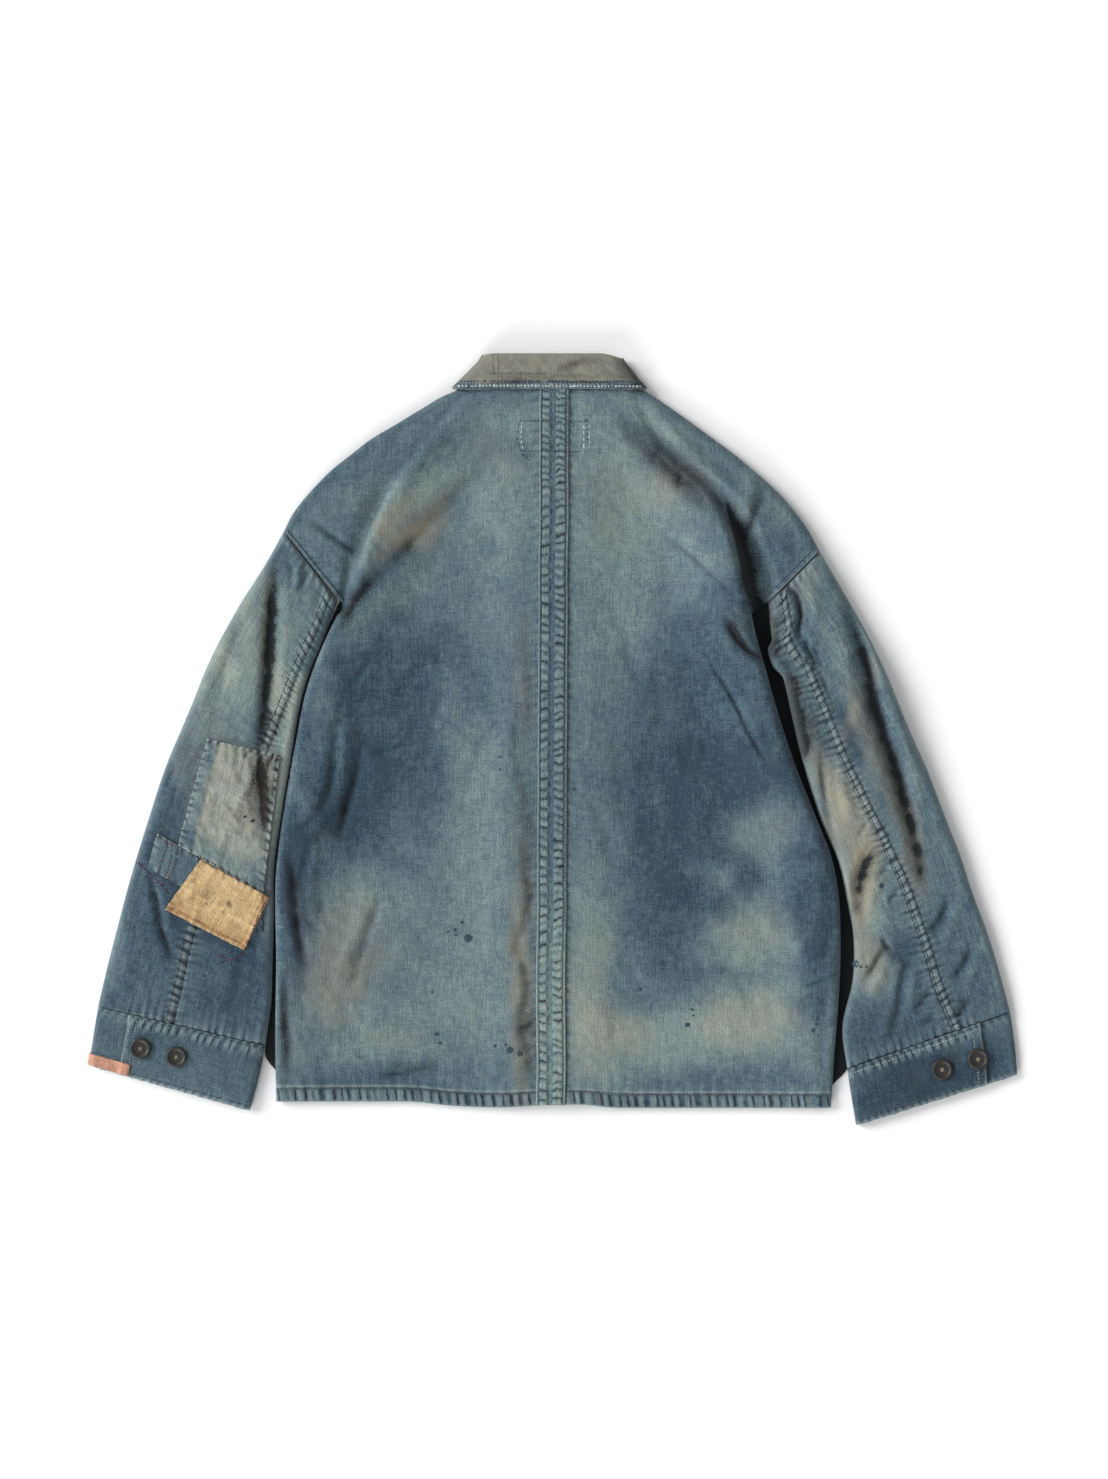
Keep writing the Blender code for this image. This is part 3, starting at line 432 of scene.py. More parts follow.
def woven_cotton(name, dyes, tan, grime_and_shade, scuff_and_highlight_colour):
    """Plain-woven cotton, matt and slightly fuzzy, with long slubs. dyes are its colours from bare to fully
    dyed cloth, then come those of its tan, of its dirt, which also serves as painted shade, and of its worn
    places, which also serve as painted highlight."""
    material, tree, shader = new_material(name, 0.92)
    shader.inputs["Specular IOR Level"].default_value = 0.18
    shader.inputs["Sheen Weight"].default_value = 0.12
    shader.inputs["Sheen Roughness"].default_value = 0.6

    wear_and_painted_light = node(tree, "ShaderNodeAttribute", attribute_name="wear_and_painted_light")
    dyed, tanned, grime_and_shade_amount = node(tree, "ShaderNodeSeparateColor", {0: wear_and_painted_light.outputs["Color"]}).outputs
    grain = node(tree, "ShaderNodeUVMap", uv_map="grain")
    seam = node(tree, "ShaderNodeUVMap", uv_map="seam")
    along, pinched, _ = node(tree, "ShaderNodeSeparateXYZ", {0: seam.outputs["UV"]}).outputs

    def threads(across, along, detail):
        """Noise stretched to those sizes on the flat cloth, in millimetres."""
        scaled = node(tree, "ShaderNodeMapping", {
            "Vector": grain.outputs["UV"], "Scale": (1 / (across * MM), 1 / (along * MM), 1)})
        return node(tree, "ShaderNodeTexNoise",
                    {"Vector": scaled.outputs["Vector"], "Scale": 1, "Detail": detail,
                     "Roughness": 0.6}).outputs["Fac"]

    def uneven(size):
        """Noise along the seam alone, in steps of that size in millimetres."""
        return node(tree, "ShaderNodeTexNoise",
                    {"W": together((along, 1 / (size * MM))), "Scale": 1, "Detail": 1},
                    noise_dimensions="1D").outputs["Fac"]

    def together(*patterns, start=0.0):
        """Sum of patterns, each times a weight or another pattern."""
        total = start
        for pattern, weight in patterns:
            total = node(tree, "ShaderNodeMath", {0: pattern, 1: weight, 2: total}, operation="MULTIPLY_ADD")
            total = total.outputs[0]
        return total

    def tinted_towards(base, colour, amount):
        return node(tree, "ShaderNodeMix", {0: amount, 6: base, 7: hex_colour(colour)},
                    data_type="RGBA").outputs[2]

    warp, weft = threads(THREAD, 14 * THREAD, 2), threads(12 * THREAD, THREAD, 2)
    fine, nubs = threads(THREAD, 1.1 * THREAD, 1), threads(2.6 * THREAD, 3.2 * THREAD, 2)
    weave = together((warp, 0.5), (weft, 0.36), (fine, 0.62), (nubs, 0.4))
    ramp = node(tree, "ShaderNodeValToRGB", {0: together((weave, SLUB), (dyed, 1), start=-0.94 * SLUB)})
    ramp.color_ramp.interpolation = "EASE"
    for stop, (share, colour) in enumerate(dyes):
        if stop > 1:
            ramp.color_ramp.elements.new(share)
        ramp.color_ramp.elements[stop].position = share
        ramp.color_ramp.elements[stop].color = hex_colour(colour)

    # A seam that has shrunk pinches the cloth across it into thin lines with swellings between, bumped into
    # the
    # surface: the lines are painted dark as the shade in the pinches, and the swellings pale as painted
    # highlight.
    turns = together((along, 1 / (PINCH * MM)), (uneven(2.1 * PINCH), 1.5), (nubs, 0.3))
    part = node(tree, "ShaderNodeMath", {0: turns}, operation="FRACT").outputs[0]
    away = node(tree, "ShaderNodeMath", {0: together((part, PINCH), start=-PINCH / 2)}, operation="ABSOLUTE")
    line, broken, swell = (
        node(tree, "ShaderNodeMapRange", dict(enumerate(ends)), interpolation_type="SMOOTHSTEP").outputs[0]
        for ends in (
            (away.outputs[0], 0.4, 1.3, 1, 0), (uneven(1.3 * PINCH), 0.36, 0.5, 0.15, 1),
            (away.outputs[0], 1.0, 3.0, 0, 0.34)))
    pinch = together((together((line, broken)), pinched))

    speckle = together((fine, 1.6), (grime_and_shade_amount, 1), start=-0.75)
    clumped = node(tree, "ShaderNodeMath", {0: speckle, 1: grime_and_shade_amount}, operation="MULTIPLY", use_clamp=True)
    base = tinted_towards(ramp.outputs["Color"], tan, tanned)
    # Dirt with painted shade, then wear with painted highlight, go over the dye and its tan.
    base = tinted_towards(base, grime_and_shade, together((grime_and_shade_amount, 0.66), (clumped.outputs[0], 1)))
    base = tinted_towards(base, scuff_and_highlight_colour, together((wear_and_painted_light.outputs["Alpha"], together((weave, 0.9), start=0.1))))
    base = tinted_towards(base, scuff_and_highlight_colour, together((swell, pinched)))
    base = tinted_towards(base, grime_and_shade, together((pinch, 0.72)))
    tree.links.new(base, shader.inputs["Base Color"])
    bump = node(tree, "ShaderNodeBump", {
        "Strength": 1.0, "Distance": 0.9 * MM, "Height": together((pinch, -0.9), (weave, 1))})
    tree.links.new(bump.outputs["Normal"], shader.inputs["Normal"])
    return material


INDIGO_DYES = [(0.0, "#909c94"), (0.3, "#738685"), (0.55, "#596e76"), (0.78, "#425866"), (1.0, "#2b3f4f")]
# Its near-black dirt colour also paints the shade in folds and gaps, and its pale worn colour paints
# highlights.
indigo_chambray = woven_cotton("sun_faded_indigo_chambray", INDIGO_DYES, "#9c947f", "#12181b", "#93a2a2")


def roll(steps):
    """Section of a rolled fold from crest to foot: inset as a share of its width, and height."""
    angle = np.linspace(math.pi / 2, -math.pi / 2, steps)
    up = np.where(angle > 0, 0.42 + 0.58 * np.sin(angle), 0.42 + 0.42 * np.sin(angle))
    return (1 - np.cos(angle)) * np.where(angle > 0, 1, 0.6), up


def front_top(side, out, y):
    """Height of the upper face of the front, which the back mustn't sink into."""
    level = eased((62 - out) / 36) * BUTTON_LIFT
    level = np.maximum(level, eased((y - 196) / 34) * eased((148 - out) / 36) * COLLAR_LIFT)
    return level + CLOTH + (CLOTH + SEAM_GAP) * eased((LAP + 22 - out) / 18) * (side == "right")


def back_edge(side, y):
    """How far out the back's outline lies: the side fold, the armhole seam, then the shoulder."""
    (low_y, low_out), (high_y, high_out) = ARMHOLE[side]
    fold = read(SIDE_FOLD[side], y)[0]
    armhole = mix(low_out, high_out, (y - low_y) / (high_y - low_y))
    edge = np.where(y < high_y, armhole, read(SHOULDER[side], y)[0])
    return np.where(y < low_y, mix(fold, low_out, eased((y - low_y + 14) / 14)), edge)


def back_height(side, out, y):
    """Height of the back over its side fold, the valley beside that, and the shoulder."""
    edge, crest, foot, runs_on = read(SIDE_FOLD[side], y)
    flat = mix(FLAT_TOP, CENTRE_TOP, eased((75 - out) / 45))
    flat = mix(flat, np.maximum(flat, NECK_TOP), eased((y - 215) / 90))
    body = mix(flat, crest, eased(1 - (edge - ROLL_WIDE - out) / PUFF))
    beyond = out - edge
    body = mix(body, foot, eased((beyond + ROLL_WIDE) / (ROLL_WIDE + 0.5 * runs_on + 1)) * (y > 120))
    _, height, ridge = read(SHOULDER[side], y)
    span = np.maximum(back_edge(side, y) - edge, 20)
    shoulder = mix(ridge, height, eased((beyond / span - 0.3) / 0.5))
    up = eased((beyond - runs_on) / np.clip(0.25 * span, 7, 16)) * eased((y - 118) / 16)
    return mix(body, shoulder, up)


def hem_dip(x, y):
    """The back hem hangs a little lower in two soft waves."""
    waves = 3 * bell(x + 60, 45) + 3.6 * eased((x - 24) / 40) - 2.4 * eased((-96 - x) / 40)
    return waves * eased((-250 - y) / 80)


def puckers(along, pitch, seed):
    """Uneven ridges across a seam, pitch apart."""
    return np.sin(2 * np.pi * along / pitch + 2.4 * cloudy(along, along * 0 + seed, 3.1 * pitch, seed, 2))


def back_panel(side):
    sign = SIGN[side]
    y = np.arange(HEM_Y, TOP_Y + 0.1, BACK_STEP)[:, None]
    edge = back_edge(side, y)
    slope = np.gradient(edge[:, 0], y[:, 0])[:, None]
    over_armhole = (y > ARMHOLE[side][0][0]) & (y < ARMHOLE[side][1][0])
    edge = edge + ARMHOLE_LAP * over_armhole
    wide = SIDE_ROLL[side] * np.clip(np.hypot(1, np.where(over_armhole, 0, slope)), 1, 2.4)
    flat = np.linspace(0, 1, 108)[None, :]
    inset, up = roll(13)
    out = np.hstack((mix(SEAM_GAP / 2, edge - wide, flat), edge - inset[1:] * wide))
    up = np.hstack((flat * 0 + 1, up[None, 1:])) + 0 * y
    rows_y = y + 0 * out
    x = sign * out
    y_hung = rows_y - hem_dip(x, rows_y)

    height = back_height(side, np.minimum(out, edge), rows_y)
    folds = creased(x, rows_y, BACK_CREASES[side])
    from_seam = np.abs(out - 14)
    by_strip = puckers(rows_y + 0.35 * out, 10, 3) * fading(from_seam, 8) * 0.45
    above_hem = rows_y - HEM_Y
    in_hem = eased((HEM_WIDE - above_hem) / 2)
    hem = (in_hem * (1.0 + 0.4 * puckers(x + 0.3 * above_hem, PINCH, 4))
           - 0.9 * bell(above_hem - HEM_WIDE - 1, 2))
    hem = hem + 0.5 * puckers(x, 1.4 * PINCH, 7) * fading(above_hem - HEM_WIDE, 12)
    hem = hem - 1.2 * eased((2.5 - above_hem) / 2.5)
    crumpled = rumpled(x, rows_y, 20) * mix(0.9, 1.4, eased((out - 90) / 120))
    top = height + folds + crumpled + by_strip + hem
    lowest = front_top(side, out, rows_y) + CLOTH + SEAM_GAP
    top = np.maximum(top, lowest) + 0.3 * fading(np.abs(top - lowest), 1)
    top = mix(top, height, eased((16 - (edge - out)) / 15) * over_armhole)
    # The armhole edge only dips into its seam; everywhere else the cloth rolls down onto the front.
    foot = np.where(over_armhole, top - 0.4, 1.8)
    z = mix(foot, top, up)

    dye = (0.625 + dabbed(x, rows_y, BACK_DYE) + 0.07 * cloudy(x, rows_y, 40, 31)
           + 0.05 * cloudy(x, rows_y * 0.3, 9, 32))
    # Deeper in troughs and hollows and paler on ridges, partly wear and partly painted shade and highlight.
    dye = (dye - 0.03 * folds - 0.07 * crumpled + 0.08 * cloudy(x, rows_y, 6, 36, 1)
           + 0.08 * cloudy(x, rows_y, 19, 38))
    beyond_fold = out - read(SIDE_FOLD[side], rows_y)[0]
    dye = dye + 0.1 * in_hem + 0.04 * (side == "left") * eased((beyond_fold - 1) / 4) * (rows_y > 130)
    tan = (dabbed(x, rows_y, BACK_TAN) * (0.85 + 0.5 * cloudy(x, rows_y, 24, 33))
           + 0.06 * cloudy(x, rows_y, 40, 34))
    # Painted shade in the folds and along seams and edges, with dirt, from the table above; and a line of
    # painted shade under the top fold of the hem.
    grime_and_shade = creased(x, rows_y, BACK_SHADE) * (0.8 + 0.5 * cloudy(x, rows_y, 12, 35))
    grime_and_shade = grime_and_shade + 0.5 * bell(above_hem - HEM_WIDE + 1.5, 1.5)
    # Worn pale along the hem's bottom edge; painted highlight along the fold at the hem's top and on the
    # puckers beside the strip; and painted paler along the armhole edge to thin the shade of its seam.
    scuff_and_highlight = 0.4 * eased((2.5 - above_hem) / 2.5) + 0.6 * bell(above_hem - HEM_WIDE - 1.2, 1.3)
    scuff_and_highlight = (scuff_and_highlight + 0.25 * capped(by_strip * 2)
             + (0.1 if side == "left" else 0.3) * over_armhole * eased((3 - (edge - out)) / 2))
    at_armhole = over_armhole * eased((13 - (edge - out)) / 3)
    by_seam = 0.4 * fading(from_seam, 4) * (0.5 + cloudy(x, rows_y, 20, 37))
    pinches = np.maximum(np.maximum(in_hem * eased(above_hem / 2), 0.2 * at_armhole), by_seam)
    seam = (np.where(in_hem > 0.1, x + 0.15 * above_hem, rows_y + 0.3 * out), capped(pinches))
    return cloth_piece(f"back_{side}_cloth", f"back_{side}", indigo_chambray, (x, y_hung, z),
                       (dye, tan, grime_and_shade, scuff_and_highlight), (x, rows_y), seam, turned=side == "left")


backs = {side: back_panel(side) for side in SIGN}

# ------------------------------------------------------------ Strip
# A straight strip felled over the centre back seam, sewn down along both edges. The seam under it and the two
# rows of stitches have shrunk more than the cloth, so it has puckered like a ladder from collar to hem.
STRIP_HALF = 14.0
PATCH = 1.0
RUNG = 9.2  # spacing of the puckers
STRIP_EDGE = 1.9  # from the strip's edge to its row of stitches
STRIP_RISE = 1.5
STRIP_LEAN = 0.005  # the strip runs slightly to one side towards the neck


def back_strip():
    x = np.linspace(-STRIP_HALF, STRIP_HALF, 33)[None, :]
    rows_y = np.arange(HEM_Y, TOP_Y + 0.1, 1.15)[:, None] + 0 * x
    flat = 0 * rows_y
    out = np.abs(x) + flat
    edge = STRIP_HALF - out
    wander = 1.2 * cloudy(rows_y, flat, 90, 41)
    base = back_height("left", out, rows_y) + 1.0
    rail = bell(edge - 1.0, 0.8)
    groove = bell(edge - STRIP_EDGE - 0.7, 0.8)
    # The seam underneath shows as a wavering, broken line left of the middle.
    from_line = x + 2.7 - 1.1 * cloudy(rows_y, flat, 12, 48)
    line = bell(from_line, 0.9) * np.clip(0.6 + 1.1 * cloudy(rows_y, flat, 10, 52), 0.1, 1)
    left = eased((-from_line - 0.7) / 1.1) * eased((edge - 2.8) / 1.0) * (x < 0)
    right = eased((x - 1.4) / 1.2) * eased((edge - 2.8) / 1.0)
    # Each column is pinched on its own, closer together towards the neck.
    rung_at = (rows_y + 0.8 * np.sin(x / 2.4 + rows_y / 31)
               + np.where(x > 0, 2.6, 1.0) * cloudy(1.3 * x, rows_y, 9, 53))
    rung_at = rung_at + 0.3 * np.clip(rung_at - 235, 0, 120) + 120.0 * (x > 0)
    phase = rung_at / np.where(x > 0, 0.88 * RUNG, RUNG) + 0.5 * cloudy(rung_at, flat, 2.3 * RUNG, 42, 2)
    strength = np.clip(0.75 + 1.1 * cloudy(np.round(phase) * 7.3, flat + (x > 0), 5, 49, 1), 0.15, 1)
    rungs = strength * bell(np.abs(phase - np.round(phase)) * RUNG, 0.95) * (left + right)
    swollen = (0.5 - 0.5 * np.cos(2 * np.pi * phase)) * (left + right)
    slant = (rows_y + 1.6 * x * np.sign(cloudy(rows_y, flat, 26, 43, 1))) / (0.7 * RUNG)
    slanted = bell(np.abs(slant - np.round(slant)) * 0.7 * RUNG, 0.8) * bell(x + 0.4, 2.6, 4)
    slanted = slanted * eased(cloudy(rows_y, flat, 30, 50, 1) * 2 + 0.5 + eased((rows_y - 240) / 40))
    relief = 1.0 * swollen - 0.5 * rungs + 0.35 * rail - 0.7 * groove - 0.6 * line - 0.4 * slanted
    relief = relief + 0.5 * cloudy(x, rows_y, 7, 44, 2)
    above_hem = rows_y - HEM_Y
    in_hem = eased((HEM_WIDE - above_hem) / 2)
    relief = relief + 0.7 * in_hem - 1.2 * eased((2.5 - above_hem) / 2.5)
    z = np.maximum(base + STRIP_RISE + relief - 1.3 * eased((0.9 - edge) / 0.9), base + 0.9)
    plan_x = x + wander + STRIP_LEAN * rows_y
    plan_y = np.minimum(rows_y - hem_dip(flat, rows_y), TOP_Y)
    dye = (0.58 - 0.26 * eased((-60 - rows_y) / 200) + dabbed(x + flat, rows_y, BACK_DYE) * 0.4
           + 0.1 * cloudy(x, rows_y, 26, 45))
    # The swollen cells between the pinches are painted paler, a painted highlight; the middle column is
    # deeper.
    dye = (dye + 0.13 * bell(x + 0.4, 2.6, 4) + 0.16 * cloudy(x, rows_y, 5, 46, 2) - 0.14 * swollen
           + 0.16 * eased((rows_y - 60) / 30) * eased((20 - rows_y) / 30))
    tan = dabbed(x + flat, rows_y, BACK_TAN) * 0.6 + 0.08 * capped(cloudy(x, rows_y, 30, 47))
    # Painted shade in the pinches, in the grooves inside the rails, along the line of the seam beneath and in
    # the slanting creases; the rails are worn pale, and the swollen cells carry a painted highlight.
    grime_and_shade = 0.8 * rungs + 0.5 * groove + 0.45 * line + 0.4 * slanted
    scuff_and_highlight = 0.35 * rail + 0.5 * swollen ** 2 * (0.5 + cloudy(x, rows_y, 11, 51))
    piece = cloth_piece("centre_strip_cloth", "centre_back_strip", indigo_chambray,
                        (plan_x, plan_y, z), (dye, tan, grime_and_shade, scuff_and_highlight), (x, rows_y), wall=PATCH)
    return piece


strip = back_strip()

# ------------------------------------------------------------ Fronts
# Two fronts lie face down under the back, the left one lapped outside the right and buttoned. What shows of
# them is the strip of cloth at the bottom of the gap beside each sleeve, painted dark as the shade in the gap
# and carried on towards each cuff as a painted shadow. The rest is finished plainly.
NECK_DROP = 76.0
NECK_OUT = 76.0
FRONT_STEP = 6.0


def neck_line(out):
    """How far the front neck lies below the back neck."""
    return NECK_DROP * np.sqrt(capped(1 - (out / NECK_OUT) ** 2))


# How far out the fronts reach under the gap beside the sleeve, and where that ends above the cuff. The cloth
# runs on into the opening by each cuff so as to lay a painted shadow there.
GAP_FLOOR = {"left": [
    (-330, 281), (-309, 275), (-289, 272), (-252, 268), (-214, 266.5), (-168, 265), (-120, 264.5),
    (-64, 256.5), (-14, 248), (28, 241), (62, 232), (97, 217), (132, 202.5),
], "right": [
    (-311, 281), (-270, 280), (-228, 286), (-190, 286), (-155, 280), (-118, 272), (-70, 252.5),
    (-20, 240), (20, 229), (60, 219), (92, 209), (132, 205),
]}
GAP_FOOT = {"left": -322, "right": -330}


def front_panel(side):
    sign = SIGN[side]
    y = np.append(np.arange(HEM_Y, TOP_Y, FRONT_STEP), TOP_Y)[:, None]
    edge, _, _, runs_on = read(SIDE_FOLD[side], y)
    reach = np.where(y < ARMHOLE[side][0][0], edge + np.clip(runs_on, -2.5, 99), back_edge(side, y) - 3)
    under_gap = eased((y - GAP_FOOT[side]) / 24) * (y < ARMHOLE[side][0][0])
    reach = mix(reach, np.maximum(reach, read(GAP_FLOOR[side], y)[0]), under_gap)
    out = mix(-LAP, reach, np.linspace(0, 1, 48)[None, :])
    drop = neck_line(out) * eased((y - 150) / 188)
    x = sign * out
    plan_y = y - drop - hem_dip(x, y + 0 * x)
    level = front_top(side, np.abs(out), plan_y) - CLOTH
    dye = 0.5 + 0.25 * cloudy(x, plan_y, 90, 52) + 0.1 * cloudy(x, plan_y, 20, 53)
    tan = capped(0.25 * cloudy(x, plan_y, 70, 54))
    # Where it shows in the gap the cloth is painted dark, deep dye, tan and heavy grime standing for the
    # gap's shade; along the middle of the right gap the shaded cloth is painted brown-grey.
    shown = eased((out - edge + 14) / 10)
    brown = eased((-60 - y) / 30) * eased((y + 246) / 16)
    if side == "left":
        brown = 0.5 + 0.3 * eased((y + 60) / 60)
    tan = np.maximum(tan, 0.7 * shown * brown)
    dye = mix(dye, mix(1.0, 0.6, brown), shown)
    if side == "left":
        # Beside this sleeve's pale upper edge the floor of the gap is painted paler, lightening the painted
        # shade there.
        pale = eased((y + 200) / 60) * eased((96 - y) / 20)
        dye, brown = mix(dye, 0.2, 0.9 * shown * pale), mix(brown, 1.45, pale)
    # Painted shade over what shows, darkest as a painted shadow in the opening above each cuff.
    grime_and_shade = (shown * np.maximum(mix(1.3, 0.8, brown), 1.3 * eased((-262 - y) / 16))
             + 0.1 * capped(cloudy(x, plan_y, 30, 55)))
    scuff_and_highlight = 0.4 * bell(plan_y - HEM_Y, 4) + 0.4 * bell(out + LAP, 3)
    return cloth_piece(f"front_{side}_cloth", f"front_{side}", indigo_chambray,
                       (x, plan_y, level), (dye, tan, grime_and_shade, scuff_and_highlight), (x, plan_y), turned=side == "right")


for side in SIGN:
    # Cut 290 mm wide with its lap, and 690 mm long, less the neck, armhole and shoulder.
    front_panel(side)

# ------------------------------------------------------------ Sleeves
# Each sleeve is a flattened tube cut in two: an outer piece round the outer fold, and an under piece round
# the inner one. On top they meet in the elbow seam, felled with two rows of puckered stitches.
SLEEVE_STEP = 2.0
FRONT_SEAM = 0.45  # the seam under the tube, as a share of the width from the outer fold
FELL = 8.5  # width of the felled seam
ELBOW_RUNG = 6.4
ARMHOLE_DIP = 1.3  # the top of the sleeve goes down under the back's edge
ELSEWHERE = 400.0  # far enough along a pattern for it to look like another one

# Sections from the armhole to the cuff: outer fold and inner fold, height, and the elbow seam as a share of
# the width from the outer fold.
SLEEVE = {"left": [
    (254, 199, 203.5, 132, 12, 0.9), (273, 165, 216.5, 97, 14, 0.9), (297, 127, 231, 62, 15, 0.89),
    (322.5, 80, 240, 28, 15, 0.865), (345, 26, 247, -14, 15, 0.79), (366.5, -25, 255.5, -64, 14, 0.7),
    (385, -81, 263.5, -120, 13, 0.61), (400, -130, 264, -168, 12, 0.53),
    (412, -175, 265.5, -214, 11, 0.48), (422, -214, 267, -252, 10, 0.465),
    (431, -252, 272.5, -289, 9.5, 0.455),
], "right": [
    (252.5, 180, 206, 132, 17, 0.82), (276, 140, 209, 92, 18, 0.82), (298, 101, 218.5, 60, 18, 0.78),
    (318.5, 58, 227.5, 20, 18, 0.73), (336, 15, 237, -20, 17, 0.69), (355, -28, 252.5, -70, 16, 0.64),
    (373.5, -76, 272, -118, 15, 0.6), (387.5, -112, 280.5, -155, 14, 0.55),
    (399, -147, 285.5, -190, 13, 0.51), (411.5, -180, 284.5, -228, 12, 0.465),
    (423, -217, 275, -271, 11, 0.4), (434, -257, 279.5, -311, 9.5, 0.35),
]}
SLEEVE_CREASES = {"left": [
    (-5.5, 6.5, [-261, 186, -263.5, 160, -265, 137, -267, 104, -269, 64, -272, 31, -275, -20,
     -276, -60]), (-2.4, 5, [-240, 196, -234, 178, -226, 160]),
    (-2.2, 3.5, [-228, 168, -236, 150, -240, 136]), (-1.4, 3, [-250, 172, -246, 156, -250, 140]),
    (1.4, 4, [-244, 176, -240, 160, -244, 142]), (1.2, 5, [-250, 150, -252, 100, -258, 40]),
    (-1.6, 5, [-290, 130, -304, 84, -318, 40, -330, 4]),
    (-1.5, 3.5, [-312, 70, -332, 20, -350, -30, -366, -80, -372, -112]),
    (-1.3, 3.5, [-330, 50, -348, 6, -364, -40, -378, -90]), (1.2, 4, [-322, 40, -344, -14, -362, -70]),
    (-2.6, 3.6, [-384, -116, -377, -146, -371, -178, -362, -202, -354, -222]),
    (1.4, 5, [-376, -130, -366, -160, -358, -190]), (-1.2, 6, [-290, -190, -296, -226, -310, -262]),
    (1, 8, [-400, -170, -404, -210, -410, -244]), (-1.1, 6, [-330, -214, -322, -250, -318, -276]),
    (-1.8, 5, [-272, -150, -280, -196, -282, -240]),
], "right": [
    (-8, 7, -0.4, [262, 158, 271, 142, 282, 118, 290, 99, 297, 79, 302, 58, 306, 40, 312, 19, 318, -1,
     325, -20, 331, -40, 336, -60, 341, -80, 345, -100, 347, -120, 346, -140]),
    (2.2, 6, [296, 120, 310, 80, 326, 24, 342, -28, 354, -76]),
    (-3.4, 3.6, [253, -2, 256, -38, 260, -70, 268, -98, 279, -116]),
    (2, 6, [270, -10, 276, -50, 284, -84]),
    (-3.2, 8, 0.2, [308, -88, 300, -106, 292, -126, 287, -142, 286, -160, 289, -178, 291, -194]),
    (2.4, 7, [312, -124, 302, -146, 299, -170]), (1.6, 4, [276, -120, 280, -146, 282, -170]),
    (-3.6, 3.4, 0.3, [322, -190, 312, -200, 304, -214, 294, -229]),
    (2.8, 6, [318, -214, 306, -230, 300, -246]), (-3.4, 2.6, [311, -184, 316, -195, 323, -201]),
    (-3, 4.5, 0.2, [348, -198, 336, -210, 331, -226, 328, -250, 322, -272, 320, -294]),
    (2.4, 5, [344, -214, 340, -232, 338, -250]), (-2.6, 3, [362, -232, 350, -247, 340, -260]),
    (-2.4, 3, [363, -256, 353, -270]), (-2, 2.6, [298, -76, 294, -84, 288, -91]),
    (-1.8, 2.6, [319, -118, 311, -126, 305, -134]), (-2, 2.6, [329, -139, 322, -148, 316, -156]),
    (-3.2, 4.5, 0.2, [376, -146, 370, -164, 360, -178, 352, -184]),
    (1.8, 6, [384, -150, 378, -176, 368, -196]), (-3, 4.5, 0.2, [398, -190, 389, -214, 377, -227]),
    (1.8, 6, [404, -200, 396, -224, 386, -238]), (-2.4, 4, [398, -240, 389, -255, 378, -266]),
    (-4.2, 3.4, -0.4, [220, 156, 224, 147, 231, 136, 235, 118, 233, 101, 241, 86]),
    (2.2, 5, [226, 128, 226, 112, 224, 100]), (-3, 2.8, [240, 102, 240, 88, 247, 76, 250, 62]),
    (-2.4, 2.6, [245, 92, 250, 80, 255, 66]), (-1.6, 2.6, [250, 68, 257, 56, 260, 44]),
    (1.6, 5, [238, 158, 246, 130, 252, 104]), (-2.4, 4, [206, 104, 214, 94, 222, 86]),
    (-2, 3, [212, 76, 222, 72, 232, 76]), (-1.4, 6, [270, 50, 282, 14, 296, -30]),
]}
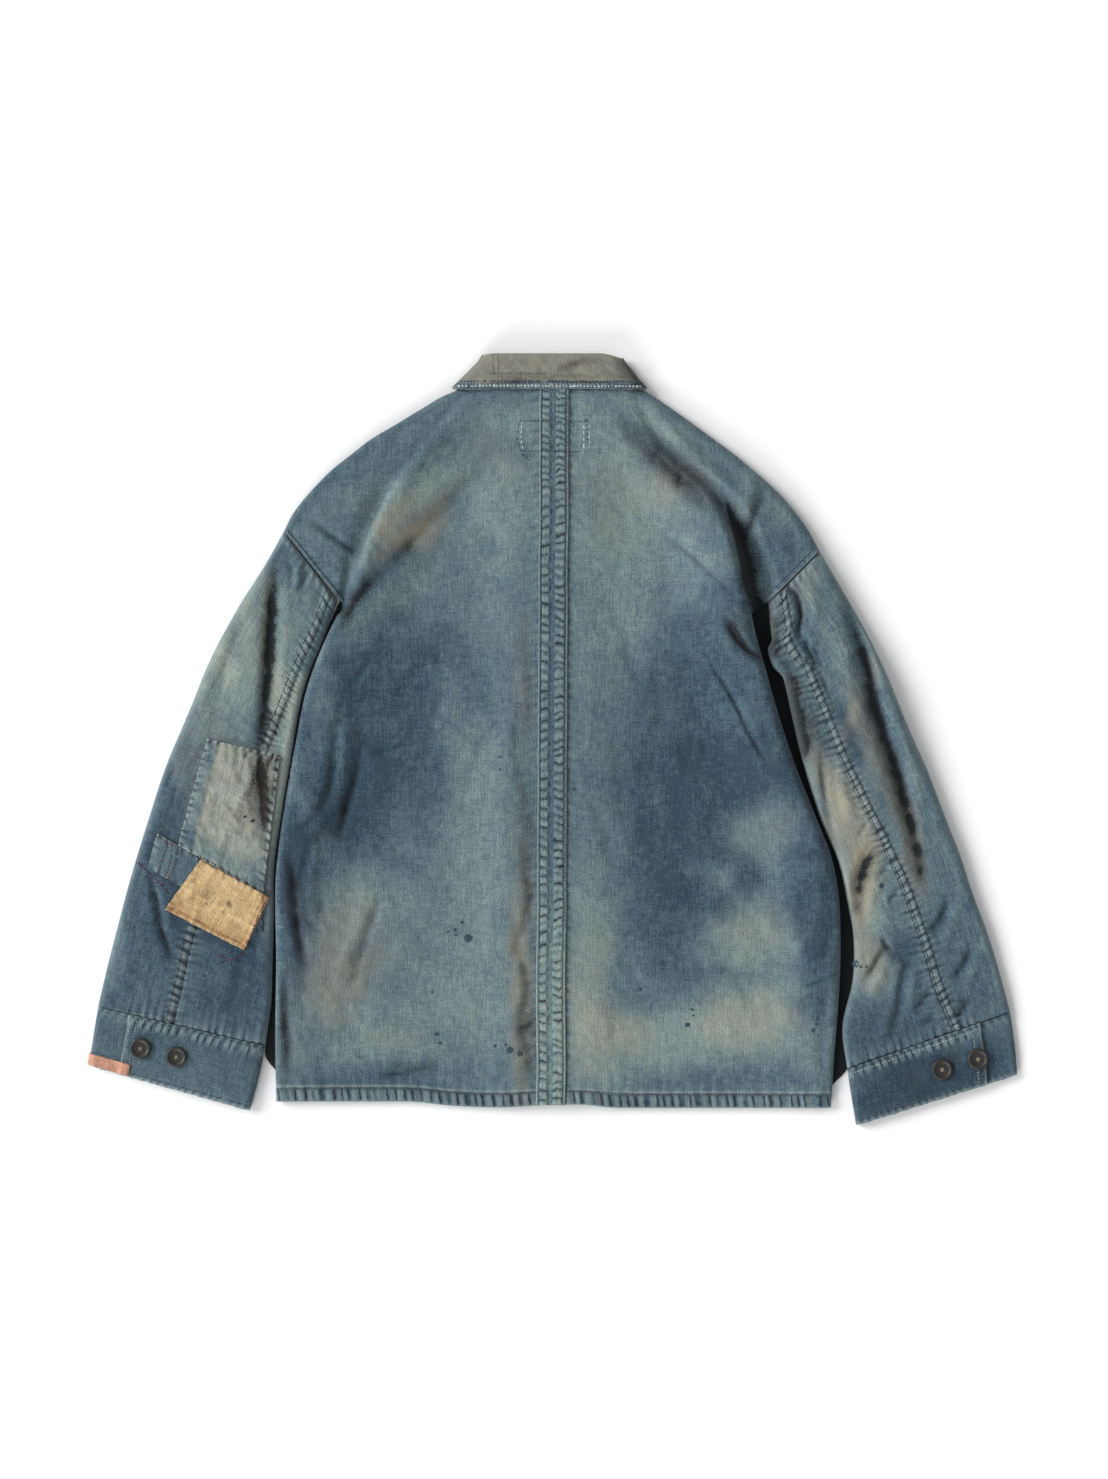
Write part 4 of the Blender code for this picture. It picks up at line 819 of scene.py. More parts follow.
SLEEVE_DYE = {"left": [
    (0.2, -246, 178, 30, 20, 40), (-0.12, -290, 90, 44, 90, 22), (-0.1, -256, 60, 18, 70),
    (0.1, -350, -40, 20, 90, 24), (0.28, -352, -236, 90, 74), (0.18, -336, -90, 56, 110, 14),
    (-0.2, -320, 90, 14, 60, 24), (-0.16, -358, -16, 8, 40, 20), (0.16, -380, -140, 40, 60, 10),
    (-0.12, -300, -30, 40, 50), (0.14, -288, -230, 24, 70), (-0.2, -289, 110, 7, 60, 6),
    (-0.16, -316, 90, 12, 54, 24), (0.14, -352, -150, 14, 30, 10), (0.14, -300, -4, 22, 24),
    (0.26, -372, -112, 14, 24, 10), (0.24, -268, -2, 12, 14), (0.12, -392, -290, 40, 20),
    (-0.14, -340, 60, 12, 50, 20), (-0.12, -318, 20, 26, 44, 20), (0.2, -330, -182, 30, 10, -24),
    (-0.16, -281, -170, 9, 26, 6), (-0.1, -312, -228, 10, 20), (-0.28, -250, -24, 13, 100, 8),
    (-0.1, -262, 90, 30, 90), (-0.08, -420, -210, 14, 60, 12),
], "right": [
    (-0.16, 300, 100, 22, 90, -28), (-0.1, 232, 140, 20, 24), (0.12, 236, 70, 16, 50),
    (0.14, 330, -10, 16, 80, -20), (0.12, 268, 30, 20, 50, -20), (-0.12, 284, -76, 24, 44, 15),
    (0.1, 262, -24, 12, 50, 16), (0.14, 301, -108, 9, 34, -20), (0.16, 290, -160, 6, 40, -6),
    (0.14, 341, -96, 9, 50, 10), (-0.12, 262, -40, 14, 44, 20), (-0.1, 350, -20, 14, 70, -22),
    (0.2, 346, -214, 60, 50), (0.3, 310, -284, 60, 34), (0.14, 390, -170, 24, 60, 14),
    (-0.3, 300, -150, 18, 50), (-0.26, 310, -224, 20, 24, 30), (0.2, 334, -196, 14, 12),
    (0.14, 400, -250, 30, 30), (0.16, 224, 10, 10, 60, 15), (0.3, 245, -78, 8, 40, 20),
    (0.2, 218, 138, 10, 26), (0.26, 292, 4, 12, 40, -16), (0.26, 306, -104, 10, 26),
    (0.2, 214, 62, 12, 30, 14), (0.22, 240, -64, 10, 34, 18), (0.2, 234, 148, 12, 10),
    (0.14, 342, -120, 8, 20), (0.16, 292, -170, 5, 26), (0.12, 380, -280, 30, 30),
    (-0.1, 350, 40, 10, 60, -20), (-0.1, 410, -170, 10, 70, -12), (-0.14, 384, -184, 12, 30, 10),
    (-0.1, 262, 92, 12, 26, 20), (0.1, 346, -120, 12, 34), (0.12, 262, 30, 14, 50, 20),
]}
# Where the sleeves have gone tan: strength, x, y, reach across, reach along, turn if any. The narrow row down
# the left sleeve's trough browns the painted shade there.
SLEEVE_TAN = {"left": [
    (0.35, -268, 70, 6, 100, 3), (0.3, -300, -60, 40, 50), (0.14, -300, 110, 40, 60, 20),
    (0.2, -270, -130, 14, 50), (0.1, -352, -10, 20, 90, 22), (0.14, -320, 30, 24, 60, 20),
], "right": [
    (0.5, 280, -80, 22, 50, 15), (0.4, 256, -34, 13, 44, 20), (0.7, 290, -146, 16, 56, -10),
    (0.45, 304, -212, 22, 24), (0.4, 336, -90, 12, 60, 12), (0.3, 300, 0, 12, 60, 22),
    (0.24, 300, 60, 8, 90, -24), (0.2, 240, 150, 14, 20),
]}
SLEEVE_SHADE = {"left": [
    (0.95, 6, [-260, 200, -262, 182, -263.5, 160, -265, 137, -267, 104, -269, 64, -272, 31, -274, 6,
     -274, -40]), (0.28, 11, [-264, 150, -267, 90, -272, 30]), (0.8, 7, [-266, 30, -265, 14, -264, -2]),
    (0.35, 2.5, [-240, 194, -233, 178, -226, 160]), (0.3, 2.5, [-228, 168, -236, 150, -240, 136]),
    (0.3, 6, [-327, -16, -349, -55, -366, -84, -375, -116]), (0.25, 5, [-316, 40, -330, 0, -344, -36]),
    (0.8, 2.8, [-384, -112, -380, -134, -374, -154, -371, -178, -362, -201, -356, -218]),
    (0.4, 4, [-270, -146, -274, -180, -274, -214, -278, -250]),
    (0.2, 8, [-300, -190, -306, -230, -316, -262]), (0.35, 2.5, [-345, -250, -350, -262, -356, -270]),
], "right": [
    (0.75, 5.5, [262, 158, 271, 142, 280, 120, 288, 100, 295, 80, 300, 60, 304, 40, 310, 20, 316, 0,
     323, -20, 329, -40, 334, -60, 339, -80, 343, -100, 345, -120, 345, -138]),
    (0.36, 12, [268, 130, 282, 96, 292, 62, 300, 24, 314, -18, 326, -60, 334, -100]),
    (0.36, 3.4, [254, -4, 256, -38, 260, -70, 268, -98]),
    (0.3, 8, [306, -98, 296, -116, 288, -138, 285, -160, 289, -184]),
    (0.2, 4, [306, -98, 299, -110, 292, -128, 289, -150]),
    (0.4, 2.4, [284, -168, 287, -182, 289, -194]), (0.7, 1.8, [312, -187, 316, -196, 322, -200]),
    (0.5, 3, [318, -196, 308, -206, 302, -218, 295, -228]),
    (0.4, 3.4, [348, -200, 336, -211, 331, -226, 328, -250, 322, -272, 320, -292]),
    (0.4, 2, [361, -234, 350, -247, 341, -259]), (0.45, 2, [363, -257, 353, -270]),
    (0.4, 1.6, [297, -77, 294, -84, 290, -89]), (0.3, 1.6, [318, -119, 308, -129]),
    (0.4, 1.6, [328, -140, 322, -148, 317, -154]),
    (0.5, 3, [374, -150, 369, -165, 360, -178, 354, -183]), (0.4, 3, [396, -194, 388, -215, 377, -226]),
    (0.5, 2.6, [396, -244, 388, -256, 379, -265]),
    (0.8, 3, [221, 154, 224, 147, 231, 136, 235, 118, 233, 102, 240, 86]),
    (0.6, 2.2, [240, 100, 240, 88, 247, 76, 250, 62]), (0.5, 2, [246, 90, 251, 79, 255, 66]),
    (0.4, 1.8, [250, 68, 257, 56, 260, 44]), (0.6, 5, [206, 124, 208, 104, 210, 86]),
    (1.3, 6, [212, 84, 223, 62, 227, 38, 231, 14, 237, -8, 244, -34]),
    (0.5, 13, [220, 70, 231, 38, 237, 8, 246, -24]), (0.4, 8, [212, 150, 216, 128, 214, 104, 214, 88]),
    (0.5, 5, [343, -90, 348, -114, 348, -146]),
    (0.45, 8, [309, -90, 301, -112, 293, -134, 289, -156, 290, -178]),
    (0.4, 8, -0.3, [334, -44, 341, -80, 345, -110, 345, -140]), (1, 7, [205, 98, 209, 86, 214, 74]),
    (0.25, 9, [238, 44, 250, 14, 260, -24, 268, -60]),
    (0.5, 4, [283, -178, 283, -206, 281, -232, 277, -256]), (0.3, 3, [250, 60, 262, 40, 270, 20]),
]}


def across_tube(side, outer_out, outer_y, inner_out, inner_y, share, down):
    """x and y at a share of the way across a flattened tube from its outer fold, moved down along it."""
    width = np.hypot(outer_out - inner_out, outer_y - inner_y)
    x = SIGN[side] * mix(outer_out, inner_out, share) + SIGN[side] * down * (outer_y - inner_y) / width
    return x, mix(outer_y, inner_y, share) - down * (outer_out - inner_out) / width


def sleeve_piece(side, inner):
    sections = np.array(SLEEVE[side], float)
    at = run_along((sections[:, :2] + sections[:, 2:4]) / 2)
    along = np.linspace(0, at[-1], int(at[-1] / SLEEVE_STEP) + 1)[:, None]
    outer_out, outer_y, inner_out, inner_y, height, seam = read(np.column_stack((at, sections)), along)
    if side == "right":
        # The cloth bunches towards the body below the armhole.
        inner_out = inner_out - 7.5 * bell(along - 60, 17, 4)
    width = np.hypot(outer_out - inner_out, outer_y - inner_y)
    wide = np.minimum(SIDE_ROLL[side] if inner else ROLL_WIDE, 0.6 * height) / width
    gap = 0.65 * SEAM_GAP / width
    seam_from_fold = (1 - seam if inner else seam) - gap
    front_from_fold = (1 - FRONT_SEAM if inner else FRONT_SEAM) - gap
    inset, up = roll(11)
    top_count = 34 if inner else 66
    flat, under = np.linspace(0, 1, top_count)[None, :], np.linspace(0, 1, 13)[None, 1:]
    from_fold = np.hstack((mix(seam_from_fold, wide, flat), inset[1:] * wide,
                           mix(inset[-1] * wide, front_from_fold, under)))
    up = np.hstack((flat * 0 + 1, up[None, 1:], under * 0)) + 0 * along
    share = 1 - from_fold if inner else from_fold
    down = 3 * SEAM_GAP * fading(along, 6)
    x, y = across_tube(side, outer_out, outer_y, inner_out, inner_y, share, down)

    on_top = eased((up - 0.3) / 0.5)
    seen_x = x + (1 - on_top) * ELSEWHERE  # hidden sides have creases and stains of their own
    folds = creased(x, y, SLEEVE_CREASES[side]) * on_top
    from_seam = np.abs(share - seam) * width
    rungs = puckers(along + 0 * share, ELBOW_RUNG, 60 + 3 * inner)
    fell = eased((FELL - from_seam) / 1.5) * (not inner)
    ladder = eased(rungs * 0.9 + 0.5) * bell(from_seam - FELL / 2, 0.36 * FELL, 4) * (not inner)
    calm = 1 - 0.6 * eased((-170 - y) / 30) * (side == "left")
    ladder = ladder * calm
    lines = bell(from_seam - 1.6, 0.9) + bell(from_seam - FELL + 1.4, 0.9)
    beyond_fell = from_seam - FELL * (not inner)
    reach = 6 + 5 * cloudy(along, 0 * along + 3 * inner, 21, 64, 2)
    drawn = puckers(along + 0.5 * from_seam * cloudy(x, y, 30, 65), ELBOW_RUNG, 60 + 3 * inner)
    reach = np.clip((1.4 if inner else 0.7) * reach, 1.5, 14 if inner else 7)
    drawn = 0.6 * drawn * fading(beyond_fell, reach) * (beyond_fell > 0)
    armhole_fell = eased((9 - along) / 2) * (0.6 + 0.4 * puckers(share * width, 8, 66))
    gathered = 0.7 * puckers(share * width, 9.5, 67) * fading(along, 14)
    to_cuff = at[-1] - along
    buttoned = eased((share - 0.17) / 0.03)
    by_cuff = 0.8 * puckers(share * width, 8.5, 68) * fading(to_cuff, 10) * buttoned
    # Long fine creases run down beside the outer fold.
    streaks = cloudy(from_fold * width, along * 0.1, 5, 77) * bell(from_fold * width, 40) * (not inner)
    relief = folds + 1.15 * rumpled(seen_x, y, 70 if side == "left" else 80) + 0.5 * streaks
    sewn = 0.9 * fell * calm + 0.42 * ladder - 0.5 * lines * (not inner) + 0.8 * drawn * calm
    relief = relief + on_top * (sewn + by_cuff + gathered + armhole_fell - fading(to_cuff, 1.2) * buttoned)
    # At the armhole the sleeve takes up the height of the back, and its edge passes under the back's edge.
    meets = back_height(side, np.abs(x[:1]), y[:1])
    top = mix(height - 0.8 * (2 * share - 1) ** 2, meets, eased(1 - along / 26)) + relief * eased(along / 5)
    top = np.where(along < 1, meets - ARMHOLE_DIP, top)
    z = mix(0, top, up) + (1 - on_top) * (up < 0.01) * np.clip(0.35 + 0.45 * cloudy(x, y, 30, 71), 0, 0.8)

    dye = 0.585 + dabbed(seen_x, y, SLEEVE_DYE[side]) + 0.08 * cloudy(seen_x, y, 40, 72)
    dye = dye + 0.06 * cloudy(from_fold * width, along * 0.3, 9, 73) + 0.07 * cloudy(x, y, 6, 76, 1)
    # Paler on raised cloth and deeper in hollows, partly wear and partly painted light.
    dye = dye - 0.05 * relief * on_top + 0.16 * streaks + 0.06 * cloudy(x, y, 18, 78)
    # Painted paler at the armhole seam, against the shade in its groove.
    dye = dye - 0.4 * eased((1.6 - along) / 1.6)
    if side == "left":
        # The edge against the body has faded most, and along it and over its roll it is painted paler still,
        # a painted highlight against the shade that falls there; near the armhole it is darker instead.
        at_edge = eased((13 - (1 - share) * width) / 6) * (up > 0.1)
        fade_and_painted_light = 0.14 * cloudy(x, y, 7, 79, 2) - 0.26 * eased((y + 130) / 50)
        dye = dye + at_edge * mix(fade_and_painted_light, 0.2, eased((y - 55) / 16))
    tan = dabbed(seen_x, y, SLEEVE_TAN[side]) + 0.08 * cloudy(seen_x, y, 40, 74)
    # Painted shade in the sleeve's folds and troughs and at its edges by the body, with dirt, from the table
    # above; painted shade too along the stitched rows, between the ladder's swellings and in the hollows of
    # the ripples beside the seam, and the fell darker towards the left cuff.
    grime_and_shade = creased(x, y, SLEEVE_SHADE[side]) * on_top * (0.8 + 0.5 * cloudy(x, y, 12, 75))
    seam_dirt_and_shade = 0.42 * lines + 0.25 * (1 - ladder) * fell + 0.3 * (1 - calm) * fell
    grime_and_shade = grime_and_shade + seam_dirt_and_shade * on_top * (not inner)
    grime_and_shade = grime_and_shade + 0.3 * capped(-drawn * 2) * on_top
    # Worn pale along the outer fold; painted highlight on the swellings of the ladder, the crests of the
    # ripples beside the seam and the gathers at the cuff; painted paler at the armhole seam against its
    # shade.
    scuff_and_highlight = on_top * (0.3 * ladder + 0.24 * capped(drawn * 2) + 0.25 * armhole_fell * eased((9 - along) / 3))
    scuff_and_highlight = scuff_and_highlight + 0.2 * bell(from_fold * width, 4) + 0.3 * on_top * capped(by_cuff)
    by_ends = np.maximum(0.4 * fading(along, 7) * (along > 3), 0.6 * fading(to_cuff, 7) * buttoned) * on_top
    by_fell = np.where(inner, 0.5, 0.9 * fell + 0.35) * fading(beyond_fell, 7 if inner else 2.6) * on_top
    at_seam = by_fell > by_ends
    seam = (np.where(at_seam, along + 0.25 * from_seam, share * width + ELSEWHERE),
            capped(np.maximum(by_fell, by_ends)))
    name = f"{'under' if inner else 'outer'}_sleeve_{side}"
    return cloth_piece(f"{name}_cloth", name, indigo_chambray, (x, y, z),
                       (dye, tan, grime_and_shade, scuff_and_highlight), (share * width, along), seam,
                       turned=(side == "left") == inner)


sleeves = {}
for side in SIGN:
    for inner in (False, True):
        piece = sleeve_piece(side, inner)
        sleeves[side, inner] = piece

# ------------------------------------------------------------ Cuffs
# A folded band round each wrist. Its buttoned end lies on top, with a double row of stitches round it; the
# seam to the sleeve has pulled the cloth below it into short creases.
BAND = 2.0
CUFF_HEIGHT = 9.5
TAB_EDGE = 0.19
UNDERLAP = 0.44
CUFF = {"left": [
    (431, -252, 272.5, -289), (434, -270, 276, -309), (437, -289, 281, -330), (440, -308, 287, -351),
], "right": [
    (434, -257, 279.5, -311), (437, -277, 282, -329), (439.5, -297, 285, -347), (441, -317, 288, -365),
]}
CUFF_DYE = {
    "left": [(0.1, -340, -310, 70, 30), (0.14, -406, -282, 26, 14), (0.12, -280, -330, 20, 30)],
    "right": [(0.3, 320, -330, 60, 40), (0.24, 380, -310, 50, 30), (0.1, 420, -300, 20, 30)],
}
# Dirt and painted shade on each cuff, as dabs: strength, x, y, reach across, reach along. The dab at the left
# cuff's inner end is painted shade.
CUFF_GRIME_AND_SHADE = {
    "left": [(0.3, -284, -300, 14, 20), (0.2, -360, -280, 30, 6)],
    "right": [
        (0.3, 336, -340, 34, 26), (0.3, 372, -296, 18, 14), (0.3, 400, -322, 24, 12),
        (0.2, 290, -350, 20, 20),
    ],
}


def cuff_band(side):
    corners = np.array(CUFF[side], float)
    at = run_along((corners[:, :2] + corners[:, 2:]) / 2)
    along = np.linspace(0, at[-1], 34)[:, None]
    outer_out, outer_y, inner_out, inner_y = read(np.column_stack((at, corners)), along)
    width = np.hypot(outer_out - inner_out, outer_y - inner_y)
    wide = 0.6 * CUFF_HEIGHT / width
    step = BAND + SEAM_GAP
    inset, up = roll(11)
    top, under, lap = (np.linspace(0, 1, count)[None, :] for count in (76, 60, 32))
    share = np.hstack((mix(TAB_EDGE, 1 - wide, top), 1 - inset[1:] * wide,
                       mix(1 - inset[-1] * wide, inset[-1] * wide, under[:, 1:]), inset[::-1][1:] * wide,
                       mix(wide, UNDERLAP, lap[:, 1:])))
    level = (np.hstack((0 * top + CUFF_HEIGHT, up[None, 1:] * CUFF_HEIGHT, 0 * under[:, 1:],
                        up[None, ::-1][:, 1:] * (CUFF_HEIGHT - step), 0 * lap[:, 1:] + CUFF_HEIGHT - step))
             + 0 * along)
    column = np.arange(share.shape[1])[None, :] + 0 * along
    is_top = column < top.size + 5
    is_lap = column > share.shape[1] - lap.size - 4
    down = 2 * SEAM_GAP * fading(along, 4)
    x, y = across_tube(side, outer_out, outer_y, inner_out, inner_y, share, down)

    round_way = share * width
    from_tab = round_way - TAB_EDGE * width
    to_edge = at[-1] - along
    rows = bell(along - 3, 0.9) + bell(to_edge - 4, 0.9)
    tab_rows = bell(from_tab - 2.5, 0.9) + bell(from_tab - 8, 0.9)
    drawn = puckers(round_way + 0.4 * along, 7.5, 90) * fading(along, 9)
    ladder = eased(drawn) * eased((14 - along) / 5)
    edge_rope = puckers(round_way - 0.8 * to_edge, 7, 91) * bell(to_edge - 2, 2.6)
    soft = rumpled(x, y, 92) * 1.1
    relief = 0.55 * drawn + 0.35 * edge_rope - 0.5 * rows - 0.5 * tab_rows * is_top + soft
    relief = relief - 1.0 * eased((1.2 - to_edge) / 1.2) - 1.0 * eased((1.2 - along) / 1.2) * is_top
    limit = np.where(is_top, 9.0, 0.05)
    z = level + np.clip(relief, -0.9, limit) * (is_top | is_lap)
    # Paler on raised cloth and deeper in hollows, partly wear and partly painted light. Dirt and painted
    # shade in the listed dabs, with painted shade in the stitched rows and the hollows of the creases by the
    # seam; worn pale at the edge, with painted highlight on the creases' crests and the rope along the edge.
    dye = 0.66 + dabbed(x, y, CUFF_DYE[side]) + 0.12 * cloudy(x, y, 30, 93) - 0.06 * relief
    tan = 0.1 * capped(cloudy(x, y, 30, 94)) + 0 * x
    grime_and_shade = dabbed(x, y, CUFF_GRIME_AND_SHADE[side]) + 0.24 * (rows + tab_rows * is_top) + 0.2 * capped(-drawn)
    scuff_and_highlight = 0.5 * ladder + 0.55 * bell(to_edge, 1.6) + 0.4 * capped(edge_rope)
    scuff_and_highlight = scuff_and_highlight + 0.5 * bell(from_tab, 1.8) * is_top
    y = y - (0.5 + 0.9 * cloudy(round_way, 0 * round_way, 9, 95)) * fading(to_edge, 2)
    pinches = np.maximum(0.9 * eased((along - 2) / 3) * eased((13 - along) / 4), 0.4 * bell(to_edge, 4))
    piece = cloth_piece(f"cuff_{side}_band", f"cuff_{side}", indigo_chambray, (x, y, z),
                        (dye, tan, grime_and_shade, scuff_and_highlight), (round_way, along),
                        (round_way + 0.2 * along, pinches * is_top), BAND, side == "left")
    # 60 mm deep as it shows, cut to fold double, and long enough to lap under its buttons.
    return piece


cuffs = {side: cuff_band(side) for side in SIGN}

# ------------------------------------------------------------ Collar
# A turned-down collar of two layers, stitched twice along its edge. Sun has bleached it to olive grey along
# the fold. It lies on the back, turns down past the shoulders and ends under the fronts.
COLLAR = [
    # edge x, edge y, fold x, fold y, seam x, seam y, fall, stand
    (0, 332, 0, 366, 0, 338.5, 16.5, 9.4), (30, 332, 20, 366, 26, 338.5, 16.5, 9.4),
    (58, 331.5, 39, 366, 52, 338.5, 16.5, 9.4), (80, 331, 55, 366, 72, 338.5, 16.3, 9.2),
    (91, 332, 61, 365.5, 79, 339.5, 13.5, 8.2), (95.5, 334, 64.5, 365, 81, 340.5, 8.2, 7.2),
    (95, 334, 64.5, 365, 81, 340.5, 3, 6.8), (89, 331, 62, 364, 78, 340, 0, 6.6),
]
COLLAR_DYES = [(0.0, "#85877d"), (0.35, "#747770"), (0.6, "#667073"), (0.8, "#52636d"), (1.0, "#384957")]
collar_cotton = woven_cotton("bleached_olive_chambray", COLLAR_DYES, "#8b836f", "#2a2724", "#9fa7a3")


def turned_collar():
    stations = list(COLLAR)
    for k in range(1, 8):
        share = k / 7
        out = 78 * math.cos(share * math.pi / 2) + 2
        stations.append((mix(86, 66, share), mix(326, 236, share), mix(61, 2.5, float(eased(share))),
                         363 - 74 * math.sin(share * math.pi / 2), out,
                         TOP_Y + 2 - float(neck_line(min(out, NECK_OUT - 0.5))), 0, 6.6))
    stations = np.array(stations, float)
    edge_run = np.hypot(*np.diff(stations[:, :2], axis=0).T) + np.abs(np.diff(stations[:, 6]))
    at = np.append(0, np.cumsum(edge_run))
    half_way = np.linspace(0, at[-1], 116)
    values = read(np.column_stack((at, stations)), half_way)
    mirrored = values[:, :0:-1] * np.array([-1, 1, -1, 1, -1, 1, 1, 1])[:, None]
    values = np.hstack((mirrored, values))[:, :, None]
    around = np.append(-half_way[:0:-1], half_way)[:, None]
    edge_x, edge_y, fold_x, fold_y, seam_x, seam_y, fall, stand = values
    depth, rise = np.hypot(edge_x - fold_x, edge_y - fold_y), np.hypot(seam_x - fold_x, seam_y - fold_y)
    turn = 3.6  # width of the rolled fold
    bend = np.linspace(math.pi / 2, -math.pi / 2, 9)[None, :]
    fall_share, stand_share = np.linspace(1, 0, 22)[None, :], np.linspace(0, 1, 16)[None, :]
    from_fold = np.hstack((mix(turn, depth, fall_share), turn * (1 - np.cos(bend[:, 1:-1])) + 0 * depth,
                           mix(turn, rise, stand_share)))
    is_fall = np.hstack((fall_share * 0 + 1, (1 + np.sin(bend[:, 1:-1])) / 2, stand_share * 0)) + 0 * depth
    on_fall = is_fall > 0.5
    end_x, end_y = np.where(on_fall, edge_x, seam_x), np.where(on_fall, edge_y, seam_y)
    reach = np.where(on_fall, depth, rise)
    x = fold_x + (end_x - fold_x) * from_fold / reach
    y = fold_y + (end_y - fold_y) * from_fold / reach
    to_edge = depth - from_fold
    shown = is_fall * eased((fall - 6) / 6)
    rope = puckers(around + 0.5 * to_edge, 4.6, 101)
    row_1, row_2 = bell(to_edge - 1.6, 0.7), bell(to_edge - 6.2, 0.8)
    between = bell(to_edge - 3.9, 1.7, 4)
    soft = 0.9 * cloudy(around, from_fold, 34, 102) + 0.4 * cloudy(around, from_fold, 12, 103)
    relief = (shown * (0.8 * rope * between - 0.6 * (row_1 + row_2) + soft
                       - 1.1 * eased((1.3 - to_edge) / 1.3)))
    relief = relief + shown * 0.7 * np.sin(np.pi * capped(from_fold / depth))
    wrinkles = cloudy(0.8 * around + from_fold, 2.4 * from_fold - around, 26, 107)
    z = np.maximum(mix(stand, fall, is_fall) + relief + 0.9 * shown * wrinkles, 0)
    upper = eased((to_edge - 5) / 6)
    # Deeper below the faded band along the top, towards both ends and on the stand; paler on raised cloth and
    # wrinkles and deeper in hollows, partly wear and partly painted light; paler over the rolled fold,
    # bleached there and also painted lighter against the roll's own shade.
    dye = (0.24 + 0.5 * (1 - upper) + 0.2 * cloudy(around, from_fold, 30, 104) - 0.1 * relief
           - 0.14 * eased((9 - from_fold) / 5))
    dye = (dye + 0.2 * cloudy(around, from_fold, 7, 106, 2) - 0.2 * wrinkles
           + 0.2 * eased((x - 20) / 50) * eased((360 - y) / 12))
    dye = dye + 0.2 * bell(x + 84, 14) + 0.12 * bell(x - 84, 12) + 0.3 * (1 - is_fall)
    tan = upper * (0.24 + 0.3 * cloudy(around, from_fold, 26, 105))
    grime_and_shade = dabbed(x, y, [(0.4, 16, 350, 17, 4.5, 12), (0.3, 74, 348, 14, 8, -40), (0.3, -40, 346, 20, 3, 0),
                          (0.2, 30, 356, 20, 5, 10), (0.3, 0, 342.5, 80, 2, 0)])
    # A painted shadow along the right end of the fall, and painted shade in the stitched rows and the hollows
    # of the rope between them.
    grime_and_shade = grime_and_shade + 0.5 * shown * eased((x - 56 + 0.8 * (y - 366)) / 12) * bell(x - 78 + 0.62 * (y - 350), 5)
    grime_and_shade = grime_and_shade + 0.5 * shown * (row_1 + row_2) + 0.2 * capped(-rope) * between * shown
    # Worn pale along the edge, with painted highlight on the crests of the rope.
    scuff_and_highlight = shown * (0.45 * bell(to_edge, 1.4) + 0.34 * capped(rope) * between)
    # One corner has gone soft and round.
    y = y - 3 * eased((x - 44) / 20) * eased((y - 342) / 20)
    x = x - 5.5 * (1 - (1 - capped(from_fold / depth)) ** 2) * eased((x - 52) / 20) * is_fall * (y > 300)
    piece = cloth_piece("collar_cloth_piece", "collar", collar_cotton, (x, y, z),
                        (dye, tan, grime_and_shade, scuff_and_highlight), (around, np.where(on_fall, from_fold, -from_fold)),
                        (around * 1.9, 0.5 * between * shown), BAND, True)
    # 520 mm long, and 85 mm deep with its stand.
    return piece


collar = turned_collar()

# ------------------------------------------------------------ Mending
# Three patches at the left elbow, each lying on what is under it: a pale one over most of the sleeve, a blue
# band along its foot, and a tan one on top. Each is sewn round its edge, and has drawn up along the stitches.
MENDING = {
    # sections down from the armhole and share of the width from the outer fold, for each corner in turn:
    # upper outer, upper inner, lower inner, lower outer
    "elbow_patch_left": [(4.30, 0.25), (4.10, 0.90), (6.60, 0.925), (6.15, 0.27)],
    "mending_band_left": [(6.06, 0.10), (6.63, 0.925), (7.35, 0.925), (6.72, 0.10)],
    "tan_patch_left": [(6.28, 0.455), (6.62, 0.97), (7.82, 0.815), (7.42, 0.275)],
}
ELBOW_SHADE = [
    (0.6, 3.4, [-277, 2, -276, -28, -272, -60, -274, -106]), (0.3, 11, [-277, 4, -275, -40, -273, -100]),
    (0.24, 2.4, [-287, -10, -283, -34, -287, -58, -281, -84]), (0.3, 3, [-296, -2, -300, -22, -296, -44]),
    (0.14, 16, [-290, -20, -288, -90]), (0.6, 2, [-284, 0, -288, -10, -294, -20]),
    (0.5, 2, [-268, 0, -266, -14, -270, -26]), (0.8, 1.8, [-291, -71, -290, -74]),
    (0.9, 2.2, [-283.5, -75, -282.5, -77.5]), (0.7, 1.3, [-307.5, -115, -307, -117]),
    (0.6, 1.2, [-279.5, -128, -279, -130]),
]
TAN_STAINS = [
    (0.5, -337, -132, 3.5, 2.5, 20), (0.34, -328, -145, 13, 8, 20), (0.75, -329, -156, 2, 2),
    (0.7, -322, -156, 1.6, 1.6), (0.7, -307, -159, 3.4, 4.6, 10), (0.6, -314, -165, 1.7, 1.7),
    (0.3, -340, -150, 3, 14, -10), (0.4, -309, -129, 4, 2, -20), (0.25, -300, -178, 12, 6, 20),
]
# Plain-woven cottons of other dyes, all matt: a chambray bleached pale, a sandy tan and a dusty rose.
pale_cotton = woven_cotton("pale_mending_chambray", [
    (0.0, "#a2a69c"), (0.35, "#87908a"), (0.6, "#72817f"), (0.8, "#5f727b"), (1.0, "#485c6b")],
    "#968b74", "#1f1c18", "#a3aeaa")
tan_cotton = woven_cotton("tan_mending_cotton", [
    (0.0, "#dfcaa6"), (0.4, "#cbb083"), (0.7, "#b29569"), (1.0, "#886b49")], "#a06a42", "#4f3925", "#e2d0b0")
rose_cotton = woven_cotton("rose_mending_cotton", [
    (0.0, "#d0a48e"), (0.4, "#bd8c75"), (0.7, "#a4725e"), (1.0, "#7d5244")], "#d2b49c", "#4a332c", "#dcbba8")


RAY_FROM = 60.0  # above everything


